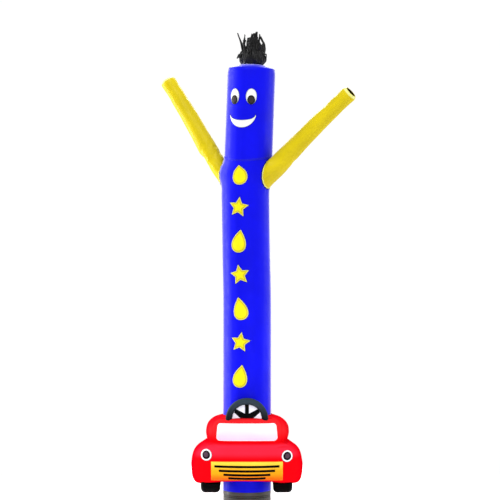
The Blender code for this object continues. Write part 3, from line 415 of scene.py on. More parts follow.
def make_looks():
    """Every finish by a short name. Bands are the turned hem of a sewn-on piece and its outline."""
    outline = (0.0018, NAVY, 0.0005)
    looks = {
        "blue": cloth("blue_nylon", (0.004, 0.005, 0.780), specular=0.05, sheen=0.90),
        # The seams' cloth is a greyer blue than the tube's: a painted highlight along their raised bands.
        "seam": cloth("blue_seam", (0.010, 0.011, 0.700), specular=0.08),
        # Painted shade: navy band along the seam round each arm.
        "navy": cloth("navy_seam_painted_shade", NAVY, specular=0.04),
        "yellow": cloth("yellow_nylon", (0.690, 0.545, 0.0035), specular=0.15, sheen=0.12),
        "hem": cloth("pale_yellow_hem", PALE_YELLOW),
        # Painted shade: the sleeves' inside face is painted a dark brown-yellow so that the openings look
        # unlit.
        "sleeve_inside_shade": cloth("painted_shade_inside_sleeve", (0.060, 0.040, 0.004)),
        "motif": cloth("yellow_motif", (0.900, 0.820, 0.003), bands=(
            (0.014, (0.620, 0.480, 0.004), 0.008), (0.0048, PALE_YELLOW, 0.0008), outline)),
        "white": cloth("white_nylon", WHITE, bands=((0.0070, (0.72, 0.76, 0.74), 0.0045), outline)),
        "smile": cloth("white_smile", (0.90, 0.92, 0.88),
                       bands=((0.0055, (0.80, 0.80, 0.82), 0.003), outline)),
        "pupil": cloth("black_pupil", (0.030, 0.022, 0.020),
                       bands=((0.0085, (0.006, 0.005, 0.008), 0.004),)),
        "black": cloth("black_nylon", (0.0015, 0.0015, 0.0018), specular=0.02, sheen=0.0),
        "hair": cloth("soft_black_nylon", (0.005, 0.005, 0.0055), specular=0.25),
        # Painted light: the ring is painted near black at its foot and lighter on top, as if lit from above.
        "charcoal": cloth("charcoal_padding", [
            (0.440, (0.003, 0.004, 0.005)), (0.530, (0.026, 0.042, 0.060)),
        ], specular=0.10, sheen=0.0),
        # Painted light on the red padding: the pale band on the hood and the paler roof are painted
        # highlights, and the rims are painted a deeper red as shade.
        "red": cloth("red_padding", [
            (GRILLE_TOP + 0.008, RED), (HOOD_FOOT, HOOD_PAINTED_HIGHLIGHT), (HOOD_TOP, HOOD_PAINTED_HIGHLIGHT),
            (WINDSCREEN_FOOT - 0.008, RED), (0.400, (0.900, 0.018, 0.024)),
        ], specular=0.0, sheen=0.0, creases=0.0014, rim=(0.620, 0.000, 0.006)),
        "panel": cloth("steering_white", (0.80, 0.80, 0.90)),
        "lamp": cloth("lamp_white", WHITE, bands=(outline,)),
        # Painted highlight: the lens's purple-brown middle is a painted sheen; the dark band at its edge is
        # the lens's own black.
        "lens": cloth("lamp_lens", (0.080, 0.042, 0.066), specular=0.06,
                      bands=((0.0100, (0.003, 0.002, 0.004), 0.005),)),
        "glass": cloth("windscreen_print", [
            (WINDSCREEN_FOOT, (0.96, 0.70, 0.96)), (WINDSCREEN_TOP, (0.97, 0.93, 0.97)),
        ], bands=((0.0035, (0.97, 0.90, 0.93), 0.0015),)),
        "grille": cloth("grille_print", [
            (GRILLE_FOOT, (0.88, 0.130, 0.002)), (0.207, (0.86, 0.38, 0.004)),
            (GRILLE_TOP, (0.88, 0.68, 0.060)),
        ], specular=0.08),
    }
    for name, dark, light in (("thread_blue", (0.01, 0.01, 0.30), (0.03, 0.03, 0.60)),
                              ("thread_yellow", (0.60, 0.48, 0.02), (0.80, 0.72, 0.12))):
        thread = Finish(name, 0.55, 0.3)
        thread.use("Base Color", thread.mix(thread.noise(400.0), dark, light))
        looks[name] = thread
    plastic = Finish("moulded_plastic", specular=0.2)
    grey = plastic.mix(plastic.noise(30.0, 5.0), GREY, tuple(1.3 * c for c in GREY))
    # Painted shade: the plastic is painted near black in its grooves.
    for groove in DRUM_GROOVES:
        away = plastic.math("ABSOLUTE", plastic.math("SUBTRACT", plastic.axis("Object", "Z"), groove))
        grey = plastic.mix(plastic.math("LESS_THAN", away, GROOVE_HALF), grey, (0.012, 0.012, 0.012))
    plastic.use("Base Color", grey)
    plastic.use("Roughness", plastic.ramp(plastic.noise(60.0, 4.0), 0.3, 0.7, 0.36, 0.5))
    plastic.use("Normal", plastic.bump(plastic.noise(900.0, 2.0), 0.00008))
    looks["plastic"] = plastic
    return looks


# ---- numbers, lines and outlines
def curve(a, b, start, end, t):
    """A point between a and b on the curve with these slopes, and the curve's slope there."""
    turn = 3 * (b - a) - 2 * start - end
    twist = start + end - 2 * (b - a)
    return a + start * t + turn * t**2 + twist * t**3, start + 2 * turn * t + 3 * twist * t**2


def read_table(table, key):
    """The other columns of a table at this value of its first, along smooth curves."""
    keys = [row[0] for row in table]
    last = len(keys) - 1
    key = min(max(key, keys[0]), keys[-1])
    i = min(bisect_right(keys, key), last) - 1
    span = keys[i + 1] - keys[i]

    def slope(k, column):
        before, after = max(k - 1, 0), min(k + 1, last)
        return (table[after][column] - table[before][column]) / (keys[after] - keys[before])

    return [curve(table[i][column], table[i + 1][column], slope(i, column) * span,
                  slope(i + 1, column) * span, (key - keys[i]) / span)[0]
            for column in range(1, len(table[0]))]


def steps_of(rows, finer):
    """Row numbers of a table, with this many steps from one to the next, and the numbered table."""
    return [k / finer for k in range(finer * (len(rows) - 1) + 1)], [(k, *row) for k, row in enumerate(rows)]


def bump(offset, half_width):
    """1 at the middle, falling smoothly to 0 at the half width and beyond."""
    return 0.5 + 0.5 * math.cos(math.pi * min(abs(offset) / half_width, 1.0))


def spaced(low, high, step):
    """Values from low to high, about this step apart."""
    count = max(1, round((high - low) / step))
    return [low + (high - low) * k / count for k in range(count + 1)]


def circle(count):
    return [2 * math.pi * k / count for k in range(count)]


def columns(count):
    """Turns round the tube, which start at the seam on its back."""
    return [180.0 + 360.0 * k / count for k in range(count)]


def distances(points):
    """Metres along a line of points to each of them."""
    sums = [0.0]
    for a, b in zip(points, points[1:]):
        sums.append(sums[-1] + math.dist(a, b))
    return sums


def part_way(a, b, t):
    return a[0] + (b[0] - a[0]) * t, a[1] + (b[1] - a[1]) * t


def sides(outline):
    return zip(outline, outline[1:] + outline[:1])


def resampled(outline, step):
    """The closed outline again, with points about this far apart and its corners kept."""
    points = []
    for here, there in sides(outline):
        count = max(1, round(math.dist(here, there) / step))
        points += [part_way(here, there, i / count) for i in range(count)]
    return points


def edge_distance(x, y, outline):
    """Metres from a point to the closed outline."""
    best = math.inf
    for (ax, ay), (bx, by) in sides(outline):
        dx, dy = bx - ax, by - ay
        t = max(0.0, min(1.0, ((x - ax) * dx + (y - ay) * dy) / max(dx * dx + dy * dy, 1e-12)))
        best = min(best, math.hypot(x - ax - t * dx, y - ay - t * dy))
    return best


def inside(x, y, outline):
    found = False
    for (ax, ay), (bx, by) in sides(outline):
        if (ay > y) != (by > y) and x < (bx - ax) * (y - ay) / (by - ay) + ax:
            found = not found
    return found


def moved(outline, across, up):
    return [(x + across, y + up) for x, y in outline]


def oval(width, height, points=64):
    return [(0.5 * width * math.cos(a), 0.5 * height * math.sin(a)) for a in circle(points)]


def drop_outline(width, height):
    return [(-DROP_FULLNESS * width * math.sin(a) * abs(math.sin(0.5 * a)), 0.5 * height * math.cos(a))
            for a in circle(72)]


def star_outline(width, height):
    outline = []
    for k, angle in enumerate(circle(10)):
        reach = 0.5 * STAR_INNER if k % 2 else 0.5
        outline.append((-reach * width * math.sin(angle), reach * height * math.cos(angle)))
    return outline


def rounded_corners(corners, radius, steps=8):
    """The outline with each corner turned on an arc. The corners run anticlockwise."""
    outline = []
    for k, corner in enumerate(corners):
        here = Vector(corner)
        before = (Vector(corners[k - 1]) - here).normalized()
        after = (Vector(corners[(k + 1) % len(corners)]) - here).normalized()
        half = 0.5 * before.angle(after)
        middle = here + (before + after).normalized() * (radius / math.sin(half))
        start = here + before * (radius / math.tan(half)) - middle
        for i in range(steps + 1):
            arm = start.copy()
            arm.rotate(Matrix.Rotation((math.pi - 2.0 * half) * i / steps, 2))
            outline.append(tuple(middle + arm))
    return outline


# ---- surfaces of the solids
def outward(turn):
    angle = math.radians(turn)
    return Vector((math.sin(angle), -math.cos(angle), 0.0))


def upward(height):
    return Vector((0.0, 0.0, height))


def leaned(centre, lean, offset):
    return centre + Matrix.Rotation(math.radians(lean), 3, "Y") @ offset


def from_neck(offset):
    """A point set out from the middle of the neck, along the head's own axes."""
    return leaned(Vector((NECK_SHIFT, 0.0, NECK_HEIGHT)), HEAD_LEAN, offset)


def turn_between(first, second):
    """The signed turn from the second to the first."""
    return (first - second + 180.0) % 360.0 - 180.0


def shoulder(turn, height):
    reach = SHOULDER_ABOVE if height > SHOULDER_HEIGHT else SHOULDER_BELOW
    level = bump(height - SHOULDER_HEIGHT, reach)
    return SHOULDER_OUT * level * sum(bump(turn_between(turn, arm.turn), SHOULDER_HALF_TURN) for arm in ARMS)


def droop(turn, away):
    return NECK_DROOP * math.cos(math.radians(turn - HEAD_TURN)) ** 2 * bump(away, DROOP_REACH)


def body_point(turn, height, lift=0.0):
    shift, lean = read_table(SPINE, height)
    radius = read_table(BODY_ROWS, height)[0] + shoulder(turn, height) + lift
    drawn_down = upward(droop(turn, NECK_HEIGHT - height))
    return leaned(Vector((shift, 0.0, height)), lean, outward(turn) * radius) - drawn_down


def head_point(turn, up, lift=0.0):
    (radius,) = read_table(HEAD_ROWS, up)
    return from_neck(outward(turn) * (radius + lift) + upward(up - droop(turn, up)))


def head_axis_point(across, forward, up):
    """A point set out from the middle of the cap's top."""
    return from_neck(Vector((across, -forward, HEAD_LENGTH + HEAD_START + CAP_RISE + up)))


def dome_drop(radius):
    return CAP_RISE * (radius / RIM_RADIUS) ** CAP_ROUND


def cap_point(turn, radius, lift):
    level = outward(turn) * radius
    return head_axis_point(level.x, -level.y, lift - dome_drop(radius))


# ---- folds
def ripple(along, away, pitch, reach, depth):
    """Puckers along a seam: they run square to it and fade out away from it."""
    if away > 5.0 * reach:
        return 0.0
    uneven = noise.noise(Vector((along * 21.0, away * 30.0, 3.7)))
    strength = 0.6 + 0.8 * noise.noise(Vector((along * 9.0, 5.1, 0.0)))
    wave = math.sin(2 * math.pi * along / pitch + 5.0 * uneven)
    return depth * strength * wave * math.exp(-away / reach)


def slow_fold(turn, scale, level):
    """Noise round a tube, with a finer grain where the scale is larger."""
    angle = math.radians(turn)
    return noise.noise(Vector((scale * math.sin(angle), scale * math.cos(angle), level)))


def arm_seam_offset(arm, turn, height):
    """Metres from an arm's seam on the tube, less than 0 inside it, and metres along it."""
    across = math.radians(turn_between(turn, arm.turn)) * TUBE_RADIUS / arm.half_width
    up = (height - arm.seam_height) / arm.half_height
    size = 0.5 * (arm.half_width + arm.half_height)
    return (math.hypot(across, up) - 1.0) * size, math.atan2(up, across) * size


def body_fold(turn, height):
    """How far the inflated cloth of the body stands off its plain form."""
    around = math.radians(turn) * TUBE_RADIUS
    rise = 0.0014 * slow_fold(turn, 1.6, 1.3 * height) + 0.0008 * slow_fold(turn, 5.0, 2.2 * height + 9.0)
    rise += ripple(around, abs(NECK_HEIGHT - height), 0.021, 0.016, 0.0008)
    rise += ripple(around + 0.3, height - BODY_FOOT, 0.017, 0.018, 0.0007)
    for arm in ARMS:
        away, along = arm_seam_offset(arm, turn, height)
        rise += ripple(along, abs(away), 0.023, 0.024, 0.0018)
    return rise


def head_fold(turn, up):
    around = math.radians(turn) * TUBE_RADIUS
    rise = 0.0013 * slow_fold(turn, 1.6, 2.1 * up + 4.0) + 0.0007 * slow_fold(turn, 5.0, 3.0 * up + 7.0)
    rise += ripple(around + 0.7, up, 0.021, 0.016, 0.0008)
    rise += ripple(around + 0.1, abs(HEAD_LENGTH - up), 0.013, 0.010, 0.0005)
    return rise


def tube_surface(turn, height, lift=0.0):
    return body_point(turn, height, lift + body_fold(turn, height))


def head_surface(turn, up, lift=0.0):
    return head_point(turn, up, lift + head_fold(turn, up))


def on_body(across, up, lift):
    return tube_surface(MOTIF_TURN + math.degrees(across / TUBE_RADIUS), up, lift)


def on_head(across, up, lift):
    return head_surface(HEAD_TURN + math.degrees(across / TUBE_RADIUS), up, lift)


# ---- meshes
def link(name, data):
    thing = bpy.data.objects.new(name, data)
    bpy.context.scene.collection.objects.link(thing)
    return thing


def add_mesh(name, verts, faces, finish, uvs=None, edges=None):
    """An object from its points and faces, with metres of cloth as its UV map.

    edges are its points' metres from the cut edge of the piece.
    """
    mesh = bpy.data.meshes.new(name)
    mesh.from_pydata([tuple(v) for v in verts], [], faces)
    if uvs:
        layer = mesh.uv_layers.new(name="UVMap")
        layer.data.foreach_set("uv", [value for pair in uvs for value in pair])
    if edges:
        mesh.attributes.new("edge", "FLOAT", "POINT").data.foreach_set("value", edges)
    mesh.materials.append(finish.material)
    mesh.shade_smooth()
    return link(name, mesh)


def grid(name, rows, across, along, finish, closed=True, skip=None, flip=False, edges=None):
    """Rows of points as faces, whose places on the cloth are across and along.

    across is a list, or the girth of closed rows.
    """
    count = len(rows[0])
    if closed:
        across = [across * k / count for k in range(count + 1)]
    faces, uvs = [], []
    for r in range(len(rows) - 1):
        for c in range(count if closed else count - 1):
            if skip and skip(r, c):
                continue
            corners = [(c, r), (c + 1, r), (c + 1, r + 1), (c, r + 1)]
            if flip:
                corners.reverse()
            faces.append([j * count + i % count for i, j in corners])
            uvs += [(across[i], along[j]) for i, j in corners]
    return add_mesh(name, [p for row in rows for p in row], faces, finish, uvs, edges)


def ring_faces(count, rings, first=0):
    """Faces between rings of count points each."""
    faces = []
    for low in range(first, first + (rings - 1) * count, count):
        for c in range(count):
            d = (c + 1) % count
            faces.append((low + c, low + d, low + count + d, low + count + c))
    return faces


def add_laid_out(name, verts, faces, finish, flat, edges=None):
    """An object whose points lie at these flat places on the cloth."""
    return add_mesh(name, verts, faces, finish, [flat[i] for face in faces for i in face], edges)


def ladder(name, low, high, levels, depth, place, away, height, skirt, finish):
    """A narrow piece from one curve to another, in rows at these shares of the way.

    place lays it on a surface, away(x, y, share) is how far a point is from its edge, and height
    its lift there. The first and last row are its skirt.
    """
    rows, edges = [], []
    for level, share in enumerate(levels):
        row = [part_way(a, b, share) for a, b in zip(low, high)]
        if level in (0, len(levels) - 1):
            gaps = [0.0] * len(row)
            rows.append([place(x, y, skirt) for x, y in row])
        else:
            gaps = [away(x, y, share) for x, y in row]
            rows.append([place(x, y, height(gap)) for (x, y), gap in zip(row, gaps)])
        edges += gaps
    along = [depth * share for share in levels]
    return grid(name, rows, [x for x, _ in low], along, finish, closed=False, edges=edges)


def reshape(thing, change):
    """Change the mesh with bmesh."""
    mesh = bmesh.new()
    mesh.from_mesh(thing.data)
    change(mesh)
    mesh.to_mesh(thing.data)
    mesh.free()


def close_ends(mesh):
    bmesh.ops.holes_fill(mesh, edges=[edge for edge in mesh.edges if edge.is_boundary])
    bmesh.ops.recalc_face_normals(mesh, faces=mesh.faces[:])


def cut_by(thing, other):
    """Take away what lies inside the other object."""
    cut = thing.modifiers.new("cut", "BOOLEAN")
    cut.object = other
    cut.solver = "EXACT"
    mesh = bpy.data.meshes.new_from_object(thing.evaluated_get(bpy.context.evaluated_depsgraph_get()))
    thing.modifiers.clear()
    thing.data = mesh


def thicken(thing, thickness=CLOTH, inside=None):
    """Give the cloth its thickness, and another finish on its inside face where given: painted shade in the
    sleeves.
    """
    step = thing.modifiers.new("thickness", "SOLIDIFY")
    step.thickness = thickness
    step.offset = -1.0
    if inside:
        thing.data.materials.append(inside.material)
        step.material_offset = 1
    return thing


def inflate(thing, held, most, pressure, spare):
    """Let air swell the cloth between the points that seams hold, each by less than most.

    spare is the share by which the cloth is cut larger, which gives it folds beside the seams.
    """
    mesh = thing.data
    group = thing.vertex_groups.new(name="held")
    group.add([vertex.index for vertex in mesh.vertices if held(vertex.co)], 1.0, "REPLACE")
    air = thing.modifiers.new("air", "CLOTH")
    air.settings.quality = 4
    air.settings.vertex_group_mass = group.name
    air.settings.use_pressure = True
    air.settings.uniform_pressure_force = pressure
    air.settings.shrink_min = -spare
    air.settings.effector_weights.gravity = 0.0
    air.collision_settings.use_collision = False
    for step in range(1, AIR_STEPS + 1):
        bpy.context.scene.frame_set(step)
    swollen = thing.evaluated_get(bpy.context.evaluated_depsgraph_get()).to_mesh()
    places = [vertex.co.copy() for vertex in swollen.vertices]
    thing.modifiers.remove(air)
    thing.vertex_groups.remove(group)
    bpy.context.scene.frame_set(1)
    for vertex, place in zip(mesh.vertices, places):
        step = place - vertex.co
        vertex.co += step * most / (most + step.length)
    mesh.update()


def ride(thing, *nodes, slot):
    """The piece rides on the one body, and stands for these nodes."""
    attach(thing, "root")
    if nodes:
        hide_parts(*nodes)


def ride_padded(thing, node, slot):
    ride(thing, node, slot=slot)


def strip(name, path, turns, profile, finish, metres, slot):
    """A narrow band along path(turn, offset, lift), whose profile has offsets and lifts."""
    rows = [[path(turn, *edge) for turn in turns] for edge in profile]
    ride(grid(name, rows, metres, [offset for offset, _ in profile], finish), slot=slot)


def stitches(name, path, total, thread, slot, pitch=STITCH_PITCH, radius=0.00045, clear=None):
    """A row of single stitches. path(t, lift) is a point of the seam, which is total metres long."""
    verts, faces = [], []
    count = max(3, round(total / pitch))
    for stitch in range(count):
        start, end = stitch / count, (stitch + STITCH_FILLED) / count
        if clear and not clear(start):
            continue
        a, b = path(start, 0.0), path(end, 0.0)
        up = (path(0.5 * (start + end), 0.002) - path(0.5 * (start + end), 0.0)).normalized()
        along = (b - a).normalized() * (STITCH_FILLED * total / count)
        side = along.cross(up).normalized()
        first = len(verts)
        for share, size in STITCH_FORM:
            arch = up * radius * (0.2 + 1.1 * math.sin(math.pi * share))
            for angle in circle(STITCH_SIDES):
                out = (side * math.cos(angle) + up * math.sin(angle)) * radius * size
                verts.append(a + along * share + arch + out)
        faces += ring_faces(STITCH_SIDES, len(STITCH_FORM), first)
        faces.append([first + k for k in reversed(range(STITCH_SIDES))])
        faces.append([len(verts) - STITCH_SIDES + k for k in range(STITCH_SIDES)])
    ride(add_mesh(name, verts, faces, thread), slot=slot)


def stitch_pair(name, labels, path, offset, total, thread):
    """A row of stitches on each side of a seam."""
    for label, across in zip(labels, (-offset, offset)):
        stitches(name + label, lambda t, lift: path(t, across, lift), total, thread, "blue_cloth")


# ---- camera, light and stage
def add_camera():
    data = bpy.data.cameras.new("camera")
    data.sensor_width = SENSOR
    data.lens = SENSOR * -CAMERA_PLACE[1] / (PHOTO_SIDE * METRES_PER_PIXEL)
    camera = link("camera", data)
    camera.location = CAMERA_PLACE
    camera.rotation_euler = (math.radians(90.0), 0.0, 0.0)
    bpy.context.scene.camera = camera


def add_stage():
    """A pale floor in a white studio. The white behind the object is brighter than its light."""
    scene = bpy.context.scene
    scene.view_settings.view_transform = "Standard"
    scene.world = bpy.data.worlds.new("studio")
    scene.world.use_nodes = True
    tree = scene.world.node_tree
    sky = tree.nodes["Background"]
    sky.inputs["Color"].default_value = (1.0, 1.0, 1.0, 1.0)
    seen = tree.nodes.new("ShaderNodeLightPath")
    level = tree.nodes.new("ShaderNodeMapRange")
    level.inputs["To Min"].default_value = SKY_LIGHT
    level.inputs["To Max"].default_value = SKY_SEEN
    tree.links.new(seen.outputs["Is Camera Ray"], level.inputs["Value"])
    tree.links.new(level.outputs[0], sky.inputs["Strength"])
    for name, place, target, size, power in SOFT_BOXES:
        data = bpy.data.lights.new(name, "AREA")
        data.shape = "RECTANGLE"
        data.size, data.size_y = size
        data.energy = power
        lamp = link(name, data)
        lamp.location = place
        lamp.rotation_euler = (Vector(target) - Vector(place)).to_track_quat("-Z", "Y").to_euler()
    paper = Finish("stage_paper", 0.9, 0.1)
    paper.use("Base Color", paper.mix(paper.noise(0.6), (0.975, 0.975, 0.975), (0.985, 0.985, 0.985)))
    add_mesh("floor", [outward(turn) * FLOOR_RADIUS for turn in range(360)], [range(360)], paper)


# ---- body and head
def add_tube(name, node, surface, heights, blue, skip=None):
    rows = [[surface(turn, height) for turn in columns(TUBE_COLUMNS)] for height in heights]
    tube = grid(name, rows, TUBE_GIRTH, heights, blue, skip=skip)
    ride(thicken(tube), node, slot="blue_cloth")


def add_body(blue):
    heights = spaced(BODY_FOOT, NECK_HEIGHT, TUBE_STEP)
    middles = [turn + 180.0 / TUBE_COLUMNS for turn in columns(TUBE_COLUMNS)]

    def in_sleeve(r, c):
        height = 0.5 * (heights[r] + heights[r + 1])
        return any(arm_seam_offset(arm, middles[c], height)[0] < -SLEEVE_TURNED_IN for arm in ARMS)

    add_tube("tube_cloth", "body_tube", tube_surface, heights, blue, in_sleeve)


def add_head(blue):
    ups = spaced(HEAD_START, HEAD_LENGTH, HEAD_STEP)
    add_tube("head_cloth", "head_tube", head_surface, ups, blue)


def add_cap(blue):
    """Rings of the cap's cloth, of which the last one lies in its middle."""
    verts, flat = [], []
    for k in range(CAP_ROWS, -1, -1):
        radius = math.sin(0.5 * math.pi * k / CAP_ROWS) * RIM_RADIUS
        for turn in columns(TUBE_COLUMNS):
            pucker = ripple(math.radians(turn) * RIM_RADIUS, RIM_RADIUS - radius, 0.016, 0.012, 0.0007)
            verts.append(cap_point(turn, radius, pucker))
            flat.append(tuple((outward(turn) * radius).xy))
    faces = ring_faces(TUBE_COLUMNS, CAP_ROWS + 1)
    faces[-TUBE_COLUMNS:] = [face[:3] for face in faces[-TUBE_COLUMNS:]]
    cap = add_laid_out("cap_cloth", verts, faces, blue, flat)
    ride(thicken(cap), "head_cap", slot="blue_cloth")


def add_tube_seams(seam, thread):
    """The seam at the neck, the one round the cap, and those up the back."""
    def on_neck(turn, offset, lift):
        if offset < 0:
            return tube_surface(turn, NECK_HEIGHT + offset, lift)
        return head_surface(turn, HEAD_START + offset, lift)

    def on_rim(turn, offset, lift):
        if offset < 0:
            return head_surface(turn, HEAD_LENGTH + offset, lift)
        return cap_point(turn, RIM_RADIUS - offset, lift)

    strip("neck_seam", on_neck, columns(TUBE_COLUMNS), NECK_BAND, seam, TUBE_GIRTH, "blue_cloth")
    stitch_pair("neck_stitches_", ("low", "high"),
                lambda t, offset, lift: on_neck(360.0 * t, offset, lift + 0.0011), 0.0028,
                TUBE_GIRTH, thread)
    strip("cap_seam", on_rim, columns(TUBE_COLUMNS), CAP_BAND, seam, TUBE_GIRTH, "blue_cloth")
    for label, surface, low, high in (
        ("tube_back", tube_surface, BODY_FOOT + 0.002, NECK_HEIGHT - 0.007),
        ("head_back", head_surface, HEAD_START + 0.006, HEAD_LENGTH - 0.006),
    ):
        def up_back(t, offset, lift):
            return surface(180.0 + math.degrees(offset / TUBE_RADIUS), low + (high - low) * t, lift)

        steps = [t / BACK_STEPS for t in range(BACK_STEPS + 1)]
        rows = [[up_back(t, *edge) for edge in BACK_BAND] for t in steps]
        along = [t * (high - low) for t in steps]
        band = grid(label + "_seam", rows, [offset for offset, _ in BACK_BAND], along, seam, closed=False)
        ride(band, slot="blue_cloth")
        stitch_pair(label + "_stitches_", ("left", "right"),
                    lambda t, offset, lift: up_back(t, offset, lift + 0.0010), 0.0042, high - low, thread)


# ---- arms
def arm_axis(arm, along):
    """A point on the arm's middle line and the line's direction there."""
    level = outward(arm.turn)
    share = along / arm.length

    def direction(part):
        lean = math.radians(arm.lean_root + (arm.lean_end - arm.lean_root) * part)
        return level * math.sin(lean) + upward(math.cos(lean))

    place = body_point(arm.turn, arm.root_height)
    for k in range(ARM_BENDS):
        place = place + direction(share * (k + 0.5) / ARM_BENDS) * (along / ARM_BENDS)
    return place, direction(share)


def seam_point(arm, angle, grow=0.0, lift=0.0):
    """A point of the arm's seam on the tube, which may be grown along the tube's cloth."""
    across = (arm.half_width + grow) * math.cos(angle) / TUBE_RADIUS
    up = (arm.half_height + grow) * math.sin(angle)
    return tube_surface(arm.turn + math.degrees(across), arm.seam_height - up, lift)


def sleeve_fold(angle, along, length):
    """Soft folds of a sleeve: they gather in the armpit and run along it further out."""
    under = bump(math.degrees(angle) - 90.0, 120.0)
    rise = 0.0016 * under * math.sin(along * 150.0 + 2.0 * math.cos(angle)) * math.exp(-along / 0.06)
    spot = Vector((1.5 * math.cos(angle), 1.5 * math.sin(angle), 7.0 * along))
    rise += 0.0011 * noise.noise(spot) + 0.0005 * noise.noise(spot * 3.1)
    rise += ripple(angle * 0.05, along, 0.017, 0.020, 0.0010)
    rise += ripple(angle * 0.04, length - along, 0.011, 0.012, 0.0008)
    return rise


def sleeve_ring(arm, along, lift=0.0):
    """A ring of the sleeve, which leaves the tube as its seam and grows round further out."""
    place, direction = arm_axis(arm, along)
    (radius,) = read_table(ARM_ROWS, along / arm.length)
    side = outward(arm.turn + 90.0)
    top = side.cross(direction)
    rounded = 1.0 - bump(along, SEAM_REACH)
    radius -= SLEEVE_SLACK * (1.0 - bump(along, 0.45 * arm.length)) * (1.0 - bump(arm.length - along, 0.07))
    tuck = arm.tuck * bump(along - TUCK_PLACE, TUCK_PLACE)
    points = []
    for angle in circle(ARM_COLUMNS):
        angle -= 0.5 * math.pi
        reach = radius + lift + sleeve_fold(angle, along, arm.length)
        out = side * math.cos(angle) + top * math.sin(angle)
        point = (seam_point(arm, angle) + direction * along).lerp(place + out * reach, rounded)
        points.append(point - out * tuck * bump(math.degrees(angle) - 90.0, 100.0))
    return points


def add_sleeve(arm, looks):
    alongs = spaced(0.0, arm.length, ARM_STEP)
    rows = [[seam_point(arm, angle - 0.5 * math.pi, grow=-0.002, lift=-SLEEVE_TURNED_IN)
             for angle in circle(ARM_COLUMNS)]]
    rows += [sleeve_ring(arm, along) for along in alongs]
    sleeve = grid(arm.name + "_cloth", rows, SLEEVE_GIRTH, [-SLEEVE_TURNED_IN] + alongs, looks["yellow"],
                  flip=True)
    end = arm_axis(arm, arm.length)[0]

    def held(place):
        return math.hypot(place.x, place.y) < SLEEVE_HELD or (place - end).length < SLEEVE_END_HELD

    inflate(sleeve, held, most=0.004, pressure=1.0, spare=0.014)
    # The sleeve's inside face gets the dark painted shade.
    ride(thicken(sleeve, inside=looks["sleeve_inside_shade"]), arm.name, slot="yellow_cloth")
    on_seam = partial(seam_point, arm)
    around = math.pi * (arm.half_width + arm.half_height)
    # The navy band on the tube round the seam is painted shade along the seam line.
    strip(arm.name + "_seam", on_seam, circle(SEAM_STEPS), SEAM_SHADE_BAND, looks["navy"], around, "blue_cloth")
    strip(arm.name + "_piping", on_seam, circle(SEAM_STEPS), PIPING, looks["hem"], around, "yellow_cloth")
    stitches(arm.name + "_seam_stitches", lambda t, lift: on_seam(2 * math.pi * t, 0.0072, lift + 0.0002),
             around, looks["thread_blue"], "blue_cloth")
    alongs = spaced(arm.length - SLEEVE_HEM, arm.length, HEM_STEP)
    rows = [sleeve_ring(arm, along, 0.0008 if k else 0.0002) for k, along in enumerate(alongs)]
    hem = grid(arm.name + "_hem", rows, SLEEVE_GIRTH, alongs, looks["hem"], flip=True)
    ride(hem, slot="yellow_cloth")


# ---- sewn-on pieces
def declare(piece, node, slot, outline):
    """Ride the piece in place of its node. Its laid size, wider than its outline where it turns away, is
    worked out but not used.
    """
    ride(piece, node, slot=slot)
    across, up = zip(*outline)
    outline_area = abs(0.5 * sum(a[0] * b[1] - b[0] * a[1] for a, b in sides(outline)))
    laid = sum(face.area for face in piece.data.polygons)
    stretch = laid / outline_area
    (max(across) - min(across)) * stretch
    max(up) - min(up)


def patch(name, node, slot, outline, place, finish, lift=PATCH_LIFT, puff=0.0010, step=0.003,
          centre=None, shares=EDGE_SHARES, cutter=None):
    """A sewn-on piece: a skirt down to what carries it, a rounded edge and a slightly full face.

    The outline is seen whole from its centre. place(across, up, lift) lays it on the surface.
    """
    fine, coarse = resampled(outline, step), resampled(outline, 4 * step)
    if centre is None:
        centre = [sum(values) / len(outline) for values in zip(*outline)]
    verts = [place(x, y, lift * 0.2) for x, y in fine]
    flat, edges = list(fine), [0.0] * len(fine)
    for share, ring in [(share, fine) for share in shares] + [(0.0, fine[:1])]:
        for point in ring:
            x, y = part_way(centre, point, share)
            away = edge_distance(x, y, coarse) if share < 1.0 else 0.0
            rounded = math.sqrt(1.0 - (1.0 - min(away / 0.0012, 1.0)) ** 2)
            full = puff * (1.0 - math.exp(-away / 0.008))
            verts.append(place(x, y, lift + PATCH * (0.45 + 0.55 * rounded) + full))
            flat.append((x, y))
            edges.append(away)
    count = len(fine)
    faces = ring_faces(count, len(shares) + 1)
    last = len(shares) * count
    faces += [(last + c, last + (c + 1) % count, last + count) for c in range(count)]
    piece = add_laid_out(name, verts, faces, finish, flat, edges)
    if cutter:
        cut_by(piece, cutter)
    declare(piece, node, slot, outline)


def outline_stitches(name, outline, place, lift, thread, slot):
    """A row of stitches a little inside an outline."""
    fine = resampled(outline, 0.001)
    inner = []
    for k, (x, y) in enumerate(fine):
        (ax, ay), (bx, by) = fine[k - 3], fine[(k + 3) % len(fine)]
        size = math.hypot(bx - ax, by - ay) / STITCH_INSET
        inner.append((x - (by - ay) / size, y + (bx - ax) / size))
    inner.append(inner[0])
    sums = distances(inner)

    def at(t):
        target = (t % 1.0) * sums[-1]
        low = bisect_right(sums, target) - 1
        return part_way(inner[low], inner[low + 1], (target - sums[low]) / (sums[low + 1] - sums[low]))

    stitches(name, lambda t, rise: place(*at(t), lift + rise), sums[-1], thread, slot, pitch=0.0036,
             radius=0.0004, clear=lambda t: edge_distance(*at(t), outline) > 0.85 * STITCH_INSET)


def add_eyes(looks):
    on_top = 2 * PATCH_LIFT + PATCH + 0.0010
    for side, across in (("left", -EYE_OUT), ("right", EYE_OUT)):
        white = "eye_white_" + side
        outline = moved(oval(*EYE_SIZE), across, EYE_HEIGHT)
        patch("eye_cloth_" + side, white, "white_cloth", outline, on_head, looks["white"])
        outline_stitches("eye_stitches_" + side, outline, on_head, 0.0022, looks["thread_blue"],
                         "white_cloth")
        outline = moved(oval(*PUPIL_SIZE, points=48), across, EYE_HEIGHT - PUPIL_DROP)
        patch("pupil_cloth_" + side, "pupil_" + side, "black_cloth", outline, on_head, looks["pupil"],
              lift=on_top, puff=0.0006)


